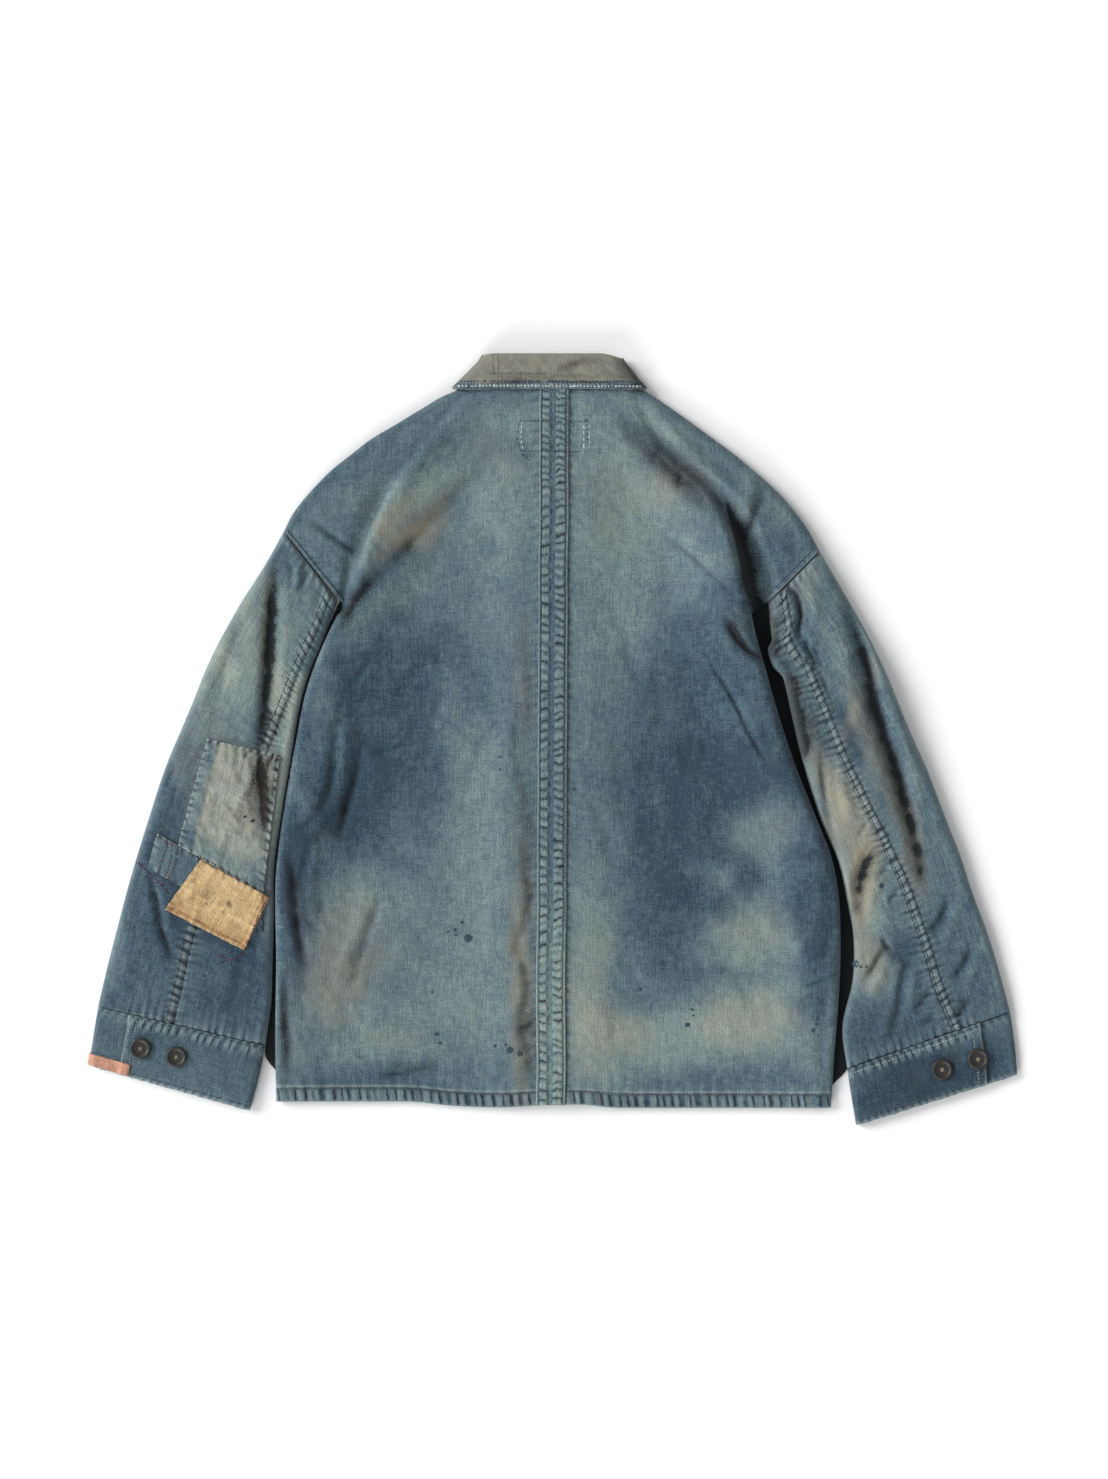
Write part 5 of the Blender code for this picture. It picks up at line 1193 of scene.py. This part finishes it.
def laid_on(pieces):
    """Finds the top of these pieces at places in plan."""
    graph = bpy.context.evaluated_depsgraph_get()
    trees = [BVHTree.FromObject(piece, graph) for piece in pieces]

    def top(x, y):
        start = Vector((x * MM, y * MM, RAY_FROM * MM))
        hits = [tree.ray_cast(start, Vector((0, 0, -1)))[0] for tree in trees]
        return max((hit.z for hit in hits if hit), default=0) / MM

    return np.vectorize(top)


def blurred(grid, times):
    for _ in range(times):
        wider = np.pad(grid, 1, mode="edge")
        grid = (wider[:-2, 1:-1] + wider[2:, 1:-1] + wider[1:-1, :-2] + wider[1:-1, 2:] + 2 * grid) / 6
    return grid


def mending_patch(name, cotton, under, step, pinch, wear):
    """A patch on the left sleeve. wear gives its relief and wear at each distance from its edges."""
    corners = MENDING[name]
    sections = np.column_stack((np.arange(len(SLEEVE["left"])), SLEEVE["left"]))

    def corner_plan(corner):
        outer_out, outer_y, inner_out, inner_y, _, _ = read(sections, corner[0])
        return np.array((-mix(outer_out, inner_out, corner[1]), mix(outer_y, inner_y, corner[1])))

    upper_outer, upper_inner, lower_inner, lower_outer = [corner_plan(corner) for corner in corners]
    wide = np.hypot(*(upper_inner - upper_outer) + (lower_inner - lower_outer)) / 2
    long = np.hypot(*(lower_outer - upper_outer) + (lower_inner - upper_inner)) / 2
    u, v = np.meshgrid(np.linspace(0, 1, int(wide / step)), np.linspace(0, 1, int(long / step)))
    across, down = u * wide, v * long
    plan = mix(mix(upper_outer, upper_inner, u[..., None]), mix(lower_outer, lower_inner, u[..., None]),
               v[..., None])
    to_edge = np.minimum(np.minimum(across, wide - across), np.minimum(down, long - down))
    fray = 0.9 * fading(to_edge, 3)
    x = plan[..., 0] + fray * cloudy(down, across, 7, 111)
    y = plan[..., 1] + fray * cloudy(across, down, 7, 112)
    lying = laid_on(under)(x, y)
    lying = np.maximum(lying, blurred(lying, 6))
    around = np.where(np.minimum(across, wide - across) < np.minimum(down, long - down), down, across)
    relief, dye, tan, grime_and_shade, scuff_and_highlight = wear(x, y, across, wide - across, down, long - down, to_edge, around)
    z = lying + SEAM_GAP + PATCH + np.maximum(relief, 0) + 0.2
    seam = (around, pinch * fading(to_edge - 1, 3.5))
    piece = cloth_piece(f"{name}_cloth", name, cotton, (x, y, z), (dye, tan, grime_and_shade, scuff_and_highlight),
                        (across, down), seam, PATCH, True)
    return piece


def elbow_wear(x, y, outer, inner, top, foot, to_edge, around):
    border = eased((14 - outer + 2 * cloudy(x, y, 12, 108)) / 4)
    row = bell(outer - 13.5, 0.9) + bell(to_edge - 2, 0.9)
    drawn = puckers(around + 0.6 * to_edge, 7.5, 113) * fading(to_edge, 4)
    by_top = puckers(outer, 9, 114) * fading(top, 16)
    folds = creased(x, y, [(-1.6, 5, ELBOW_SHADE[0][-1])])
    creases = 0.4 - np.abs(cloudy(0.7 * x + y, x - 0.5 * y, 22, 115))
    relief = 0.9 + 1.9 * creases + 0.9 * cloudy(x, y, 7, 116) + 0.4 * drawn + 0.5 * by_top - 0.5 * row + folds
    dye = (0.32 + 0.5 * border + 0.34 * eased((foot - 8) / -30 + 1)
           + 0.2 * eased((26 - inner) / 20) * eased((top - 60) / 20))
    # Paler on raised cloth and deeper in hollows, partly wear and partly painted light.
    dye = dye - 0.14 * relief + 0.2 * cloudy(x, y, 12, 117) + 0.14 * cloudy(x, y, 34, 118) + 0.1
    tan = ((1 - border) * (0.2 + 0.4 * cloudy(x, y, 20, 119)) * eased((foot - 10) / 20)
           * eased((inner - 4) / 10))
    # Painted shade in its folds, from the table above; darker along its stitched row, in the hollows of its
    # puckers and towards its upper inner corner.
    grime_and_shade = (creased(x, y, ELBOW_SHADE) + 0.3 * eased((34 - inner) / 30) * eased((70 - top) / 40)
             + 0.25 * capped(-drawn) + 0.2 * row + 0.1 * capped(cloudy(x, y, 9, 120)))
    grime_and_shade = grime_and_shade + 0.4 * capped(-by_top) * eased((40 - inner) / 20)
    scuff_and_highlight = 0.5 * bell(foot, 1.2) + 0.4 * capped(drawn) + 0.2 * bell(to_edge, 1.2)
    return relief, dye, tan, grime_and_shade, scuff_and_highlight


def band_wear(x, y, outer, inner, top, foot, to_edge, around):
    drawn = puckers(around, 6.5, 121) * fading(to_edge, 4)
    boxed = eased((24 - outer) / 2)
    relief = 0.4 + 0.4 * drawn + 0.3 * cloudy(x, y, 9, 122) - 0.4 * bell(outer - 14, 1)
    dye = 0.72 + 0.14 * cloudy(x, y, 16, 123) - 0.12 * boxed
    grime_and_shade = 0.3 * bell(outer - 24, 2) + 0.24 * capped(-drawn) + 0.5 * bell(foot, 1.5)
    return relief, dye, 0, grime_and_shade, 0.5 * capped(drawn) * boxed + 0.3 * bell(top, 1.5)


def tan_wear(x, y, outer, inner, top, foot, to_edge, around):
    hem_line = bell(foot - 4.5 - 1.5 * cloudy(around, 0 * around, 20, 124), 0.9)
    side_line = bell(inner - 4.5 - 2 * cloudy(0 * around, around, 16, 125), 0.9)
    edge = bell(to_edge, 1.4)
    drawn = puckers(around, 8, 126) * fading(to_edge, 5)
    relief = (0.5 + 0.35 * drawn + 0.4 * cloudy(x, y, 16, 127) - 0.6 * np.maximum(hem_line, side_line)
              + 0.3 * (to_edge < 4))
    dye = (0.52 + 0.2 * cloudy(x, y, 20, 128) + 0.1 * cloudy(x, y, 6, 129) + 0.28 * eased((20 - foot) / 20)
           + 0.1 * eased((12 - outer) / 12))
    tan = (0.62 * np.maximum(hem_line, side_line) + 0.45 * edge * (inner < 3) + 0.2 * edge
           + dabbed(x, y, [(0.5, -352, -158, 5, 3, 20)]))
    grime_and_shade = 0.8 * dabbed(x, y, TAN_STAINS) + 0.3 * edge * capped(cloudy(around, to_edge, 6, 130))
    return relief, dye, tan, grime_and_shade, 0.3 * capped(drawn)


sleeve_pieces = [sleeves["left", False], sleeves["left", True]]
elbow = mending_patch("elbow_patch_left", pale_cotton, sleeve_pieces, 1.4, 0.9,
                      elbow_wear)
band = mending_patch("mending_band_left", indigo_chambray, sleeve_pieces + [elbow], 1.4, 0.7,
                     band_wear)
tan_patch = mending_patch("tan_patch_left", tan_cotton, sleeve_pieces + [elbow, band],
                          1.2, 0.15, tan_wear)


def cuff_mending():
    """Frayed rose mending folded over the outer corner of the left cuff's edge."""
    upper, lower = np.array(CUFF["left"][-2:], float)
    down = np.linspace(0.42, 0.98, 12)[:, None]
    outer_out, outer_y, inner_out, inner_y = [mix(a, b, down) for a, b in zip(upper, lower)]
    width = np.hypot(outer_out - inner_out, outer_y - inner_y)
    wide = 0.6 * CUFF_HEIGHT / width
    step = BAND + SEAM_GAP
    lift = PATCH + 1.5 * SEAM_GAP
    angle = np.linspace(-0.3, math.pi / 2, 9)[None, :]
    side_up = np.where(angle > 0, 0.42 + 0.58 * np.sin(angle), 0.42 + 0.42 * np.sin(angle))
    flat = np.linspace(0, 1, 26)[None, 1:]
    share = np.hstack(((1 - np.cos(angle)) * wide - lift * np.cos(angle) / width, mix(wide, 0.25, flat)))
    z = np.hstack((side_up * (CUFF_HEIGHT - step) + lift * np.sin(angle) + 0 * down,
                   0 * flat + CUFF_HEIGHT - step + lift + 0 * down))
    x = -mix(outer_out, inner_out, share)
    y = mix(outer_y, inner_y, share)
    lying = laid_on([cuffs["left"]])(x, y) + lift
    z = np.where(share > 0.02, np.maximum(z, blurred(np.where(lying > lift + 1, lying, z), 2)), z)
    across, along = share * width, down * 20 + 0 * share
    fray = cloudy(across, along, 4, 131)
    z = z + 0.35 * np.abs(cloudy(across, along, 5, 132)) + 0.2
    y = y + 0.6 * fray * (down < 0.5)
    dye = 0.42 + 0.3 * fray + 0.2 * cloudy(across, along, 9, 133)
    tan = 0.3 * capped(cloudy(across, along, 6, 134))
    grime_and_shade = 0.4 * capped(cloudy(across, along, 5, 135)) + 0.3 * (share > 0.235)
    piece = cloth_piece("cuff_patch_left_cloth", "cuff_patch_left", rose_cotton,
                        (x, y, z), (dye, tan, grime_and_shade, 0.3 * np.abs(fray)), (across, along), wall=PATCH,
                        turned=True)


cuff_mending()

# ------------------------------------------------------------ Buttons
# Dark dished buttons, each sewn through two pairs of holes: two on each cuff, and five down the front, which
# lies underneath.
BUTTON_PROFILE = [
    # out, up
    (0.0, 0.0), (8.4, 0.0), (9.5, 0.5), (10.0, 1.3), (10.0, 2.3), (9.75, 3.0), (9.1, 3.45), (8.3, 3.6),
    (7.5, 3.4), (6.9, 2.95), (6.2, 2.55), (5.0, 2.4), (4.2, 2.5), (3.4, 2.3), (1.6, 2.2), (0.0, 2.2),
]
BUTTON_SIDES = 40
CUFF_BUTTONS = ["cuff_button_left_1", "cuff_button_left_2", "cuff_button_right_1", "cuff_button_right_2"]
FRONT_BUTTONS = [f"front_button_{number}" for number in range(1, 6)]


def flecked(name, roughness, scale, detail, blotchy, dark, light):
    """A plain material, a little uneven in colour. scale is in flecks to the metre."""
    material, tree, shader = new_material(name, roughness)
    place = node(tree, "ShaderNodeTexCoord")
    noise = node(tree, "ShaderNodeTexNoise", {
        "Vector": place.outputs["Object"], "Scale": scale, "Detail": detail, "Roughness": blotchy})
    tone = node(tree, "ShaderNodeMix", {0: noise.outputs["Fac"], 6: dark, 7: light}, data_type="RGBA")
    tree.links.new(tone.outputs[2], shader.inputs["Base Color"])
    return material


def thread_colour(name, colour):
    """Waxed sewing thread, dull, and darker and lighter by turns along its twist."""
    shades = [[min(1, tone * part) for part in hex_colour(colour)[:3]] + [1] for tone in (0.45, 1.5)]
    return flecked(name, 0.8, 260, 2, 0.5, *shades)


# Polished horn worn dull, nearly black with brown in it.
dark_horn = flecked("dark_horn", 0.5, 420, 4, 0.7, hex_colour("#0d0e0e"), hex_colour("#35322e"))
button_thread = thread_colour("brown_button_thread", "#8c8272")


def sewn_bars(bars, high):
    """Vertices and faces of stitches. Each is a low bar tapered at both ends, from one point to another."""
    points, faces = [], []
    for start, end, wide in bars:
        start, end = np.array(start, float), np.array(end, float)
        side = np.array((start[1] - end[1], end[0] - start[0], 0.0))
        side *= wide / 2 / max(np.hypot(*side[:2]), 1e-6)
        first = len(points)
        for share, size in ((0, 0.35), (0.25, 1), (0.75, 1), (1, 0.35)):
            centre = mix(start, end, share)
            points += [centre + side * size, centre + (0, 0, high * size + 0.2 * (wide - 0.7)),
                       centre - side * size]
        for ring in range(3):
            a = first + 3 * ring
            faces += [(a, a + 3, a + 4, a + 1), (a + 1, a + 4, a + 5, a + 2)]
        faces += [(first, first + 1, first + 2), (first + 9, first + 11, first + 10)]
    return points, faces


def button_piece(name):
    low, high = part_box(name)
    middle = (low + high) / 2 / MM
    facing = -1 if name in FRONT_BUTTONS else 1
    base = (low.z if facing > 0 else high.z) / MM
    angle = np.linspace(0, 2 * math.pi, BUTTON_SIDES, endpoint=False) + 0.7 * len(name)
    rings = [[(0, 0, BUTTON_PROFILE[0][1])]] + [
        [(out * math.cos(a), out * math.sin(a), up) for a in angle] for out, up in BUTTON_PROFILE[1:-1]
    ] + [[(0, 0, BUTTON_PROFILE[-1][1])]]
    points = [point for ring in rings for point in ring]
    faces = []
    last = len(points) - 1
    for k in range(BUTTON_SIDES):
        following = (k + 1) % BUTTON_SIDES
        faces.append((0, 1 + following, 1 + k))
        for ring in range(len(rings) - 3):
            a, b = 1 + ring * BUTTON_SIDES, 1 + (ring + 1) * BUTTON_SIDES
            faces.append((a + k, a + following, b + following, b + k))
        faces.append((last, last - BUTTON_SIDES + k, last - BUTTON_SIDES + following))
    turn = math.radians(35 + 31 * int(name[-1]))
    bars = [((-2.2, 0.9, 2.4), (2.2, 1.1, 2.4)), ((-2.2, -1.1, 2.4), (2.2, -0.9, 2.4)),
            ((-1.8, 1.2, 2.7), (1.9, -1.2, 2.7))]
    spun = [tuple((math.cos(turn) * x - math.sin(turn) * y, math.sin(turn) * x + math.cos(turn) * y, z)
                  for x, y, z in bar) for bar in bars]
    thread_points, thread_faces = sewn_bars([(*bar, 1.1) for bar in spun], 0.8)
    horn_faces = len(faces)
    faces += [tuple(len(points) + corner for corner in face) for face in thread_faces]
    points = np.array([tuple(point) for point in points] + [tuple(point) for point in thread_points])
    points = points * (1, facing, facing) + (middle.x, middle.y, base)
    data = bpy.data.meshes.new(f"{name}_horn")
    data.from_pydata((points * MM).tolist(), [], faces)
    data.materials.append(dark_horn)
    data.materials.append(button_thread)
    for face in data.polygons[horn_faces:]:
        face.material_index = 1
    piece = fixed(f"{name}_horn", data)
    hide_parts(name)


for name in CUFF_BUTTONS + FRONT_BUTTONS:
    button_piece(name)

# ------------------------------------------------------------ Stitching
# Rows of stitches lie on the finished cloth: navy and bleached thread along the seams and edges, dark red
# round the mending, orange round the tan patch. They are a little thicker than real thread, so as to show.
STITCH_HIGH = 0.4


def seam_line(side, offset, start=0.0, end=1.0):
    """The elbow seam of a sleeve, moved offset towards the outer fold."""
    line = []
    for section in SLEEVE[side]:
        outer_out, outer_y, inner_out, inner_y, _, seam = section
        share = seam - offset / math.hypot(outer_out - inner_out, outer_y - inner_y)
        line.append((SIGN[side] * mix(outer_out, inner_out, share), mix(outer_y, inner_y, share)))
    first, last = int(start * (len(line) - 1)), int(math.ceil(end * (len(line) - 1)))
    return line[first:last + 1]


def cuff_line(side, down, start, end):
    """A line across the top of a cuff, down from its seam, between two shares of its width."""
    sections = np.column_stack((np.linspace(0, 1, len(CUFF[side])), CUFF[side]))
    outer_out, outer_y, inner_out, inner_y = read(sections, down)
    return [(SIGN[side] * mix(outer_out, inner_out, share), mix(outer_y, inner_y, share))
            for share in np.linspace(start, end, 5)]


def tab_line(side, share, start, end):
    """A line down a cuff beside the edge of its buttoned end."""
    return [cuff_line(side, down, share, share)[0] for down in np.linspace(start, end, 4)]


navy_thread = thread_colour("navy_thread", "#26374a")
bleached_thread = thread_colour("bleached_thread", "#a3b1b0")
red_thread = thread_colour("dark_red_thread", "#45202c")
orange_thread = thread_colour("orange_thread", "#9a5f35")
BODY, LEFT_ARM, RIGHT_ARM = 0, 1, 2
(low_y, low_out), (high_y, high_out) = ARMHOLE["right"]
armhole_line = [(mix(low_out, high_out, share) - 3.5, mix(low_y, high_y, share) + 2.5)
                for share in (0.06, 0.35, 0.65, 0.94)]
hem_line = [(x, HEM_Y + HEM_WIDE - float(hem_dip(x, HEM_Y))) for x in range(-258, 261, 37)]
# Only the stitches of the label inside show, as a rectangle.
LABEL_LEFT, LABEL_RIGHT, LABEL_TOP, LABEL_FOOT = -31.8, 36.6, 302.0, 272.7
STITCHING = {
    # thread: rows of (where it lies, pitch, width, path)
    "navy": (navy_thread, [
        (BODY, 3.4, 0.7, [(-11.6, -342), (-11.9, -100), (-11.4, 120), (-10.2, 330)]),
        (BODY, 3.4, 0.7, [(12.4, -342), (12.0, -100), (12.6, 120), (14.0, 330)]),
        (BODY, 3.1, 0.7, hem_line),
        (BODY, 3.2, 1.0, [(LABEL_LEFT, LABEL_TOP), (LABEL_RIGHT, LABEL_TOP - 0.6)]),
        (BODY, 3.2, 1.0, [(LABEL_LEFT + 1, LABEL_FOOT + 1), (LABEL_RIGHT - 3, LABEL_FOOT)]),
        (BODY, 4.0, 1.6, [(LABEL_RIGHT - 7, LABEL_TOP + 0.6), (LABEL_RIGHT, LABEL_TOP - 0.2)]),
        (BODY, 3.6, 1.0, [(LABEL_LEFT, LABEL_TOP - 1), (LABEL_LEFT - 1.6, 286),
                          (LABEL_LEFT + 1.4, LABEL_FOOT)]),
        (BODY, 4.4, 0.8, [(LABEL_RIGHT - 4, LABEL_TOP - 2), (LABEL_RIGHT - 4.2, LABEL_FOOT + 2)]),
        (BODY, 3.4, 1.1, [(-29, 271), (-24, 266), (-17, 260)]),
        (BODY, 3.6, 0.7, armhole_line),
        (BODY, 3.2, 1.8, [(-88, 339), (-40, 339.3), (20, 339), (82, 338.6)]),
        (BODY, 2.4, 0.9, [(-90, 331.9), (-40, 332), (20, 331.8), (88, 331.6)]),
        (BODY, 3.6, 0.7, [(-60, 346), (-30, 346.5), (-5, 346)]),
        *((LEFT_ARM, 3.3, 1.2, seam_line("left", from_seam, start, end))
          for start, end in ((0, 0.4), (0.8, 1)) for from_seam in (1.6, 7.4)),
        (LEFT_ARM, 5.0, 0.7, [(-402, -256.5), (-388, -258), (-373, -260)]),
        (RIGHT_ARM, 3.3, 1.2, seam_line("right", 1.6)), (RIGHT_ARM, 3.3, 1.2, seam_line("right", 7.4)),
        (LEFT_ARM, 3.2, 0.7, cuff_line("left", 0.05, 0.2, 0.97)),
        (RIGHT_ARM, 3.2, 0.7, cuff_line("right", 0.05, 0.2, 0.97)),
        (LEFT_ARM, 3.4, 0.7, cuff_line("left", 0.94, 0.27, 0.97)),
        (RIGHT_ARM, 3.4, 0.7, cuff_line("right", 0.94, 0.2, 0.97)),
        (RIGHT_ARM, 3.2, 0.7, tab_line("right", 0.206, 0.05, 0.95)),
    ]),
    "bleached": (bleached_thread, [
        (BODY, 3.3, 2.2, [(-90, 334.8), (-40, 335), (20, 334.6), (86, 334.4)]),
        (BODY, 5.0, 1.2, [(LABEL_LEFT + 3.2, LABEL_TOP - 3), (LABEL_LEFT + 2, 286),
                          (LABEL_LEFT + 4, LABEL_FOOT + 2)]),
        (BODY, 5.0, 1.1, [(LABEL_RIGHT - 1.2, LABEL_TOP - 3), (LABEL_RIGHT - 1.6, LABEL_FOOT + 1)]),
        (BODY, 6.0, 1.7, [(LABEL_RIGHT - 6.7, LABEL_TOP - 3), (LABEL_RIGHT - 7, LABEL_FOOT + 1)]),
        (LEFT_ARM, 3.0, 0.7, tab_line("left", 0.206, 0.04, 0.8)),
        (LEFT_ARM, 3.0, 0.7, tab_line("left", 0.24, 0.08, 0.8)),
        (RIGHT_ARM, 3.0, 0.7, tab_line("right", 0.24, 0.08, 0.95)),
        (RIGHT_ARM, 3.4, 0.7, cuff_line("right", 0.11, 0.24, 0.97)),
        (BODY, 2.6, 0.7, [(-262, -176), (-252, -177)]),
    ]),
    "red": (red_thread, [
        (BODY, 2.4, 0.7, [(-56.4, 365), (-55.8, 344)]), (BODY, 2.4, 0.7, [(-51.6, 365), (-51.2, 344)]),
        (LEFT_ARM, 2.6, 1.2, [(-387, -86), (-376, -89), (-364, -97), (-353, -101)]),
        (LEFT_ARM, 2.4, 1.2, [(-395, -115), (-386, -122), (-378, -129), (-370, -138), (-360, -148)]),
        (LEFT_ARM, 2.4, 1.2, [(-392, -115.5), (-384, -124), (-376, -131), (-366, -140)]),
        (LEFT_ARM, 2.8, 1.2, [(-364, -97), (-368, -110), (-374, -127)]),
        (LEFT_ARM, 2.8, 1.2, [(-354, -101), (-357, -120), (-362, -144)]),
        (LEFT_ARM, 3.2, 1.2, [(-359, -99), (-362, -116), (-367, -134)]),
        (LEFT_ARM, 2.2, 1.2, [(-291, -199), (-299, -206), (-309, -209), (-320, -213)]),
        (LEFT_ARM, 2.2, 1.2, [(-321, -203), (-312, -205), (-306, -208)]),
        (LEFT_ARM, 2.6, 1.2, [(-262, -135), (-268, -147), (-277, -163), (-286, -188), (-290, -199)]),
        (LEFT_ARM, 3.0, 1.2, [(-345, -106), (-330, -112), (-300, -129), (-270, -146)]),
    ]),
    "orange": (orange_thread, [
        (LEFT_ARM, 4.2, 0.7, [(-362, -160), (-340, -170), (-316, -182), (-294, -193)]),
        (LEFT_ARM, 4.2, 0.7, [(-292, -194), (-280, -176), (-271, -152)]),
    ]),
}


def stitching():
    under = {
        BODY: laid_on(list(backs.values()) + [strip, collar]),
        LEFT_ARM: laid_on(sleeve_pieces + [elbow, band, tan_patch, cuffs["left"]]),
        RIGHT_ARM: laid_on([sleeves["right", False], sleeves["right", True], cuffs["right"]]),
    }
    chance = np.random.default_rng(140)
    for thread, (material, rows) in STITCHING.items():
        bars = []
        for where, pitch, wide, path in rows:
            line = curve(path, 5.0)
            at = run_along(line)
            for start in np.arange(0.5, at[-1] - 0.7 * pitch, pitch):
                if chance.random() < 0.08:
                    continue
                ends = []
                for far in (start, start + 0.68 * pitch * chance.uniform(0.8, 1.15)):
                    x, y = (np.interp(far, at, line[:, k]) + chance.normal(0, 0.18) for k in (0, 1))
                    ends.append((x, y, float(under[where](x, y)) + 0.05))
                if abs(ends[0][2] - ends[1][2]) < 2.5:
                    bars.append((*ends, wide))
        points, faces = sewn_bars(bars, STITCH_HIGH)
        data = bpy.data.meshes.new(f"{thread}_stitches")
        data.from_pydata((np.array(points) * MM).tolist(), [], faces)
        data.materials.append(material)
        fixed(f"{thread}_stitches", data)
    return under


under = stitching()

# ------------------------------------------------------------ Paint
# Old drops of dark paint soaked into the back, the right elbow and the left sleeve.
DROPS = [
    # where, x, y, radius
    (BODY, -86, -173, 1.6), (BODY, -92.6, -180, 1.5), (BODY, -91.8, -185, 1.2), (BODY, -80.3, -188, 3.7),
    (BODY, -99.3, -182, 1.1), (BODY, -109.7, -279, 1.9), (BODY, -106.9, -287, 1.7),
    (BODY, -54.6, -290, 1.5), (BODY, -40.4, -293.6, 3.2), (BODY, -44.5, -288.5, 1.3),
    (BODY, -30.9, -297, 2.8), (BODY, 83, -236.6, 1.8), (BODY, 132.5, -255.6, 1.2),
    (BODY, 133.4, -261, 1.0), (BODY, 127.8, -269.8, 2.3), (BODY, 250.3, -264, 1.4),
    (BODY, 246.5, -274.6, 2.1), (BODY, 249.5, -269, 1.2), (BODY, 20.4, -46.6, 1.6), (BODY, -50, -16, 1.1),
    (BODY, -50, -28, 1.0), (BODY, 107, 83, 1.6), (BODY, -114, -239, 1.1), (BODY, 90, -222, 0.9),
    (RIGHT_ARM, 311, -137.8, 2.4), (RIGHT_ARM, 286.6, -211.9, 3.4), (RIGHT_ARM, 291.6, -214.7, 1.3),
    (RIGHT_ARM, 297, -214.7, 1.2), (LEFT_ARM, -379.5, -173.9, 2.6), (LEFT_ARM, -330, -223, 1.4),
    (LEFT_ARM, -349, -192, 2.0),
]
# House paint long soaked in, matt and nearly black, greyed by washing.
paint = flecked("soaked_dark_paint", 0.85, 600, 3, 0.5, hex_colour("#1a2833"), hex_colour("#3d4f5b"))


def paint_drops():
    points, faces = [], []
    for number, (where, x, y, radius) in enumerate(DROPS):
        first = len(points)
        points.append((x, y, float(under[where](x, y)) + 0.6))
        for k in range(14):
            angle = 2 * math.pi * k / 14
            ragged = float(cloudy(2.2 * math.cos(angle) + 7 * number, 2.2 * math.sin(angle), 1.6, 151))
            out = radius * (1 + 0.45 * ragged)
            edge_x, edge_y = x + out * math.cos(angle), y + out * math.sin(angle)
            points.append((edge_x, edge_y, float(under[where](edge_x, edge_y)) + 0.3))
            faces.append((first, first + 1 + k, first + 1 + (k + 1) % 14))
    data = bpy.data.meshes.new("paint_drops")
    data.from_pydata((np.array(points) * MM).tolist(), [], faces)
    data.materials.append(paint)
    fixed("paint_drops", data)


paint_drops()

# ------------------------------------------------------------ Studio and camera
# A sheet of matt white paper under a large soft light from the upper left and a weaker one from below it,
# seen from straight above.
floor_mesh = bpy.data.meshes.new("studio_floor")
FLOOR_HALF = 6.0
FLOOR_LEVEL = -0.0002  # just under the cloth
corners = [(FLOOR_HALF * right, FLOOR_HALF * up, FLOOR_LEVEL)
           for right, up in ((-1, -1), (1, -1), (1, 1), (-1, 1))]
floor_mesh.from_pydata(corners, [], [(0, 1, 2, 3)])
floor = bpy.data.objects.new("studio_floor", floor_mesh)
bpy.context.scene.collection.objects.link(floor)
paper, _, paper_shader = new_material("matt_white_paper", 1.0)
paper_shader.inputs["Base Color"].default_value = hex_colour("#ffffff")
floor_mesh.materials.append(paper)

world = bpy.data.worlds.new("studio")
world.use_nodes = True
world.node_tree.nodes["Background"].inputs["Color"].default_value = hex_colour("#ffffff")
world.node_tree.nodes["Background"].inputs["Strength"].default_value = 0.45
bpy.context.scene.world = world

for name, energy, across, direction in (
    ("soft_key", 2.8, 34, (-0.86, 0.34, 0.52)),
    ("soft_fill", 1.9, 30, (-0.45, -0.82, 0.34)),
):
    light = bpy.data.lights.new(name, "SUN")
    light.energy = energy
    light.angle = math.radians(across)
    lamp = bpy.data.objects.new(name, light)
    bpy.context.scene.collection.objects.link(lamp)
    lamp.rotation_euler = Vector(direction).to_track_quat("Z", "Y").to_euler()

FRAME_WIDE, FRAME_HIGH = 1108, 1479
CAMERA_HEIGHT = 3.2
SCENE_WIDE = 1.0526  # of the floor, seen across the frame
camera_data = bpy.data.cameras.new("overhead")
camera_data.sensor_width = 36
camera_data.lens = 36 * CAMERA_HEIGHT / (SCENE_WIDE * FRAME_HIGH / FRAME_WIDE)
camera = bpy.data.objects.new("overhead", camera_data)
bpy.context.scene.collection.objects.link(camera)
camera.location = (0.0014, 0.0005, CAMERA_HEIGHT)
bpy.context.scene.camera = camera
bpy.context.scene.view_settings.view_transform = "Standard"
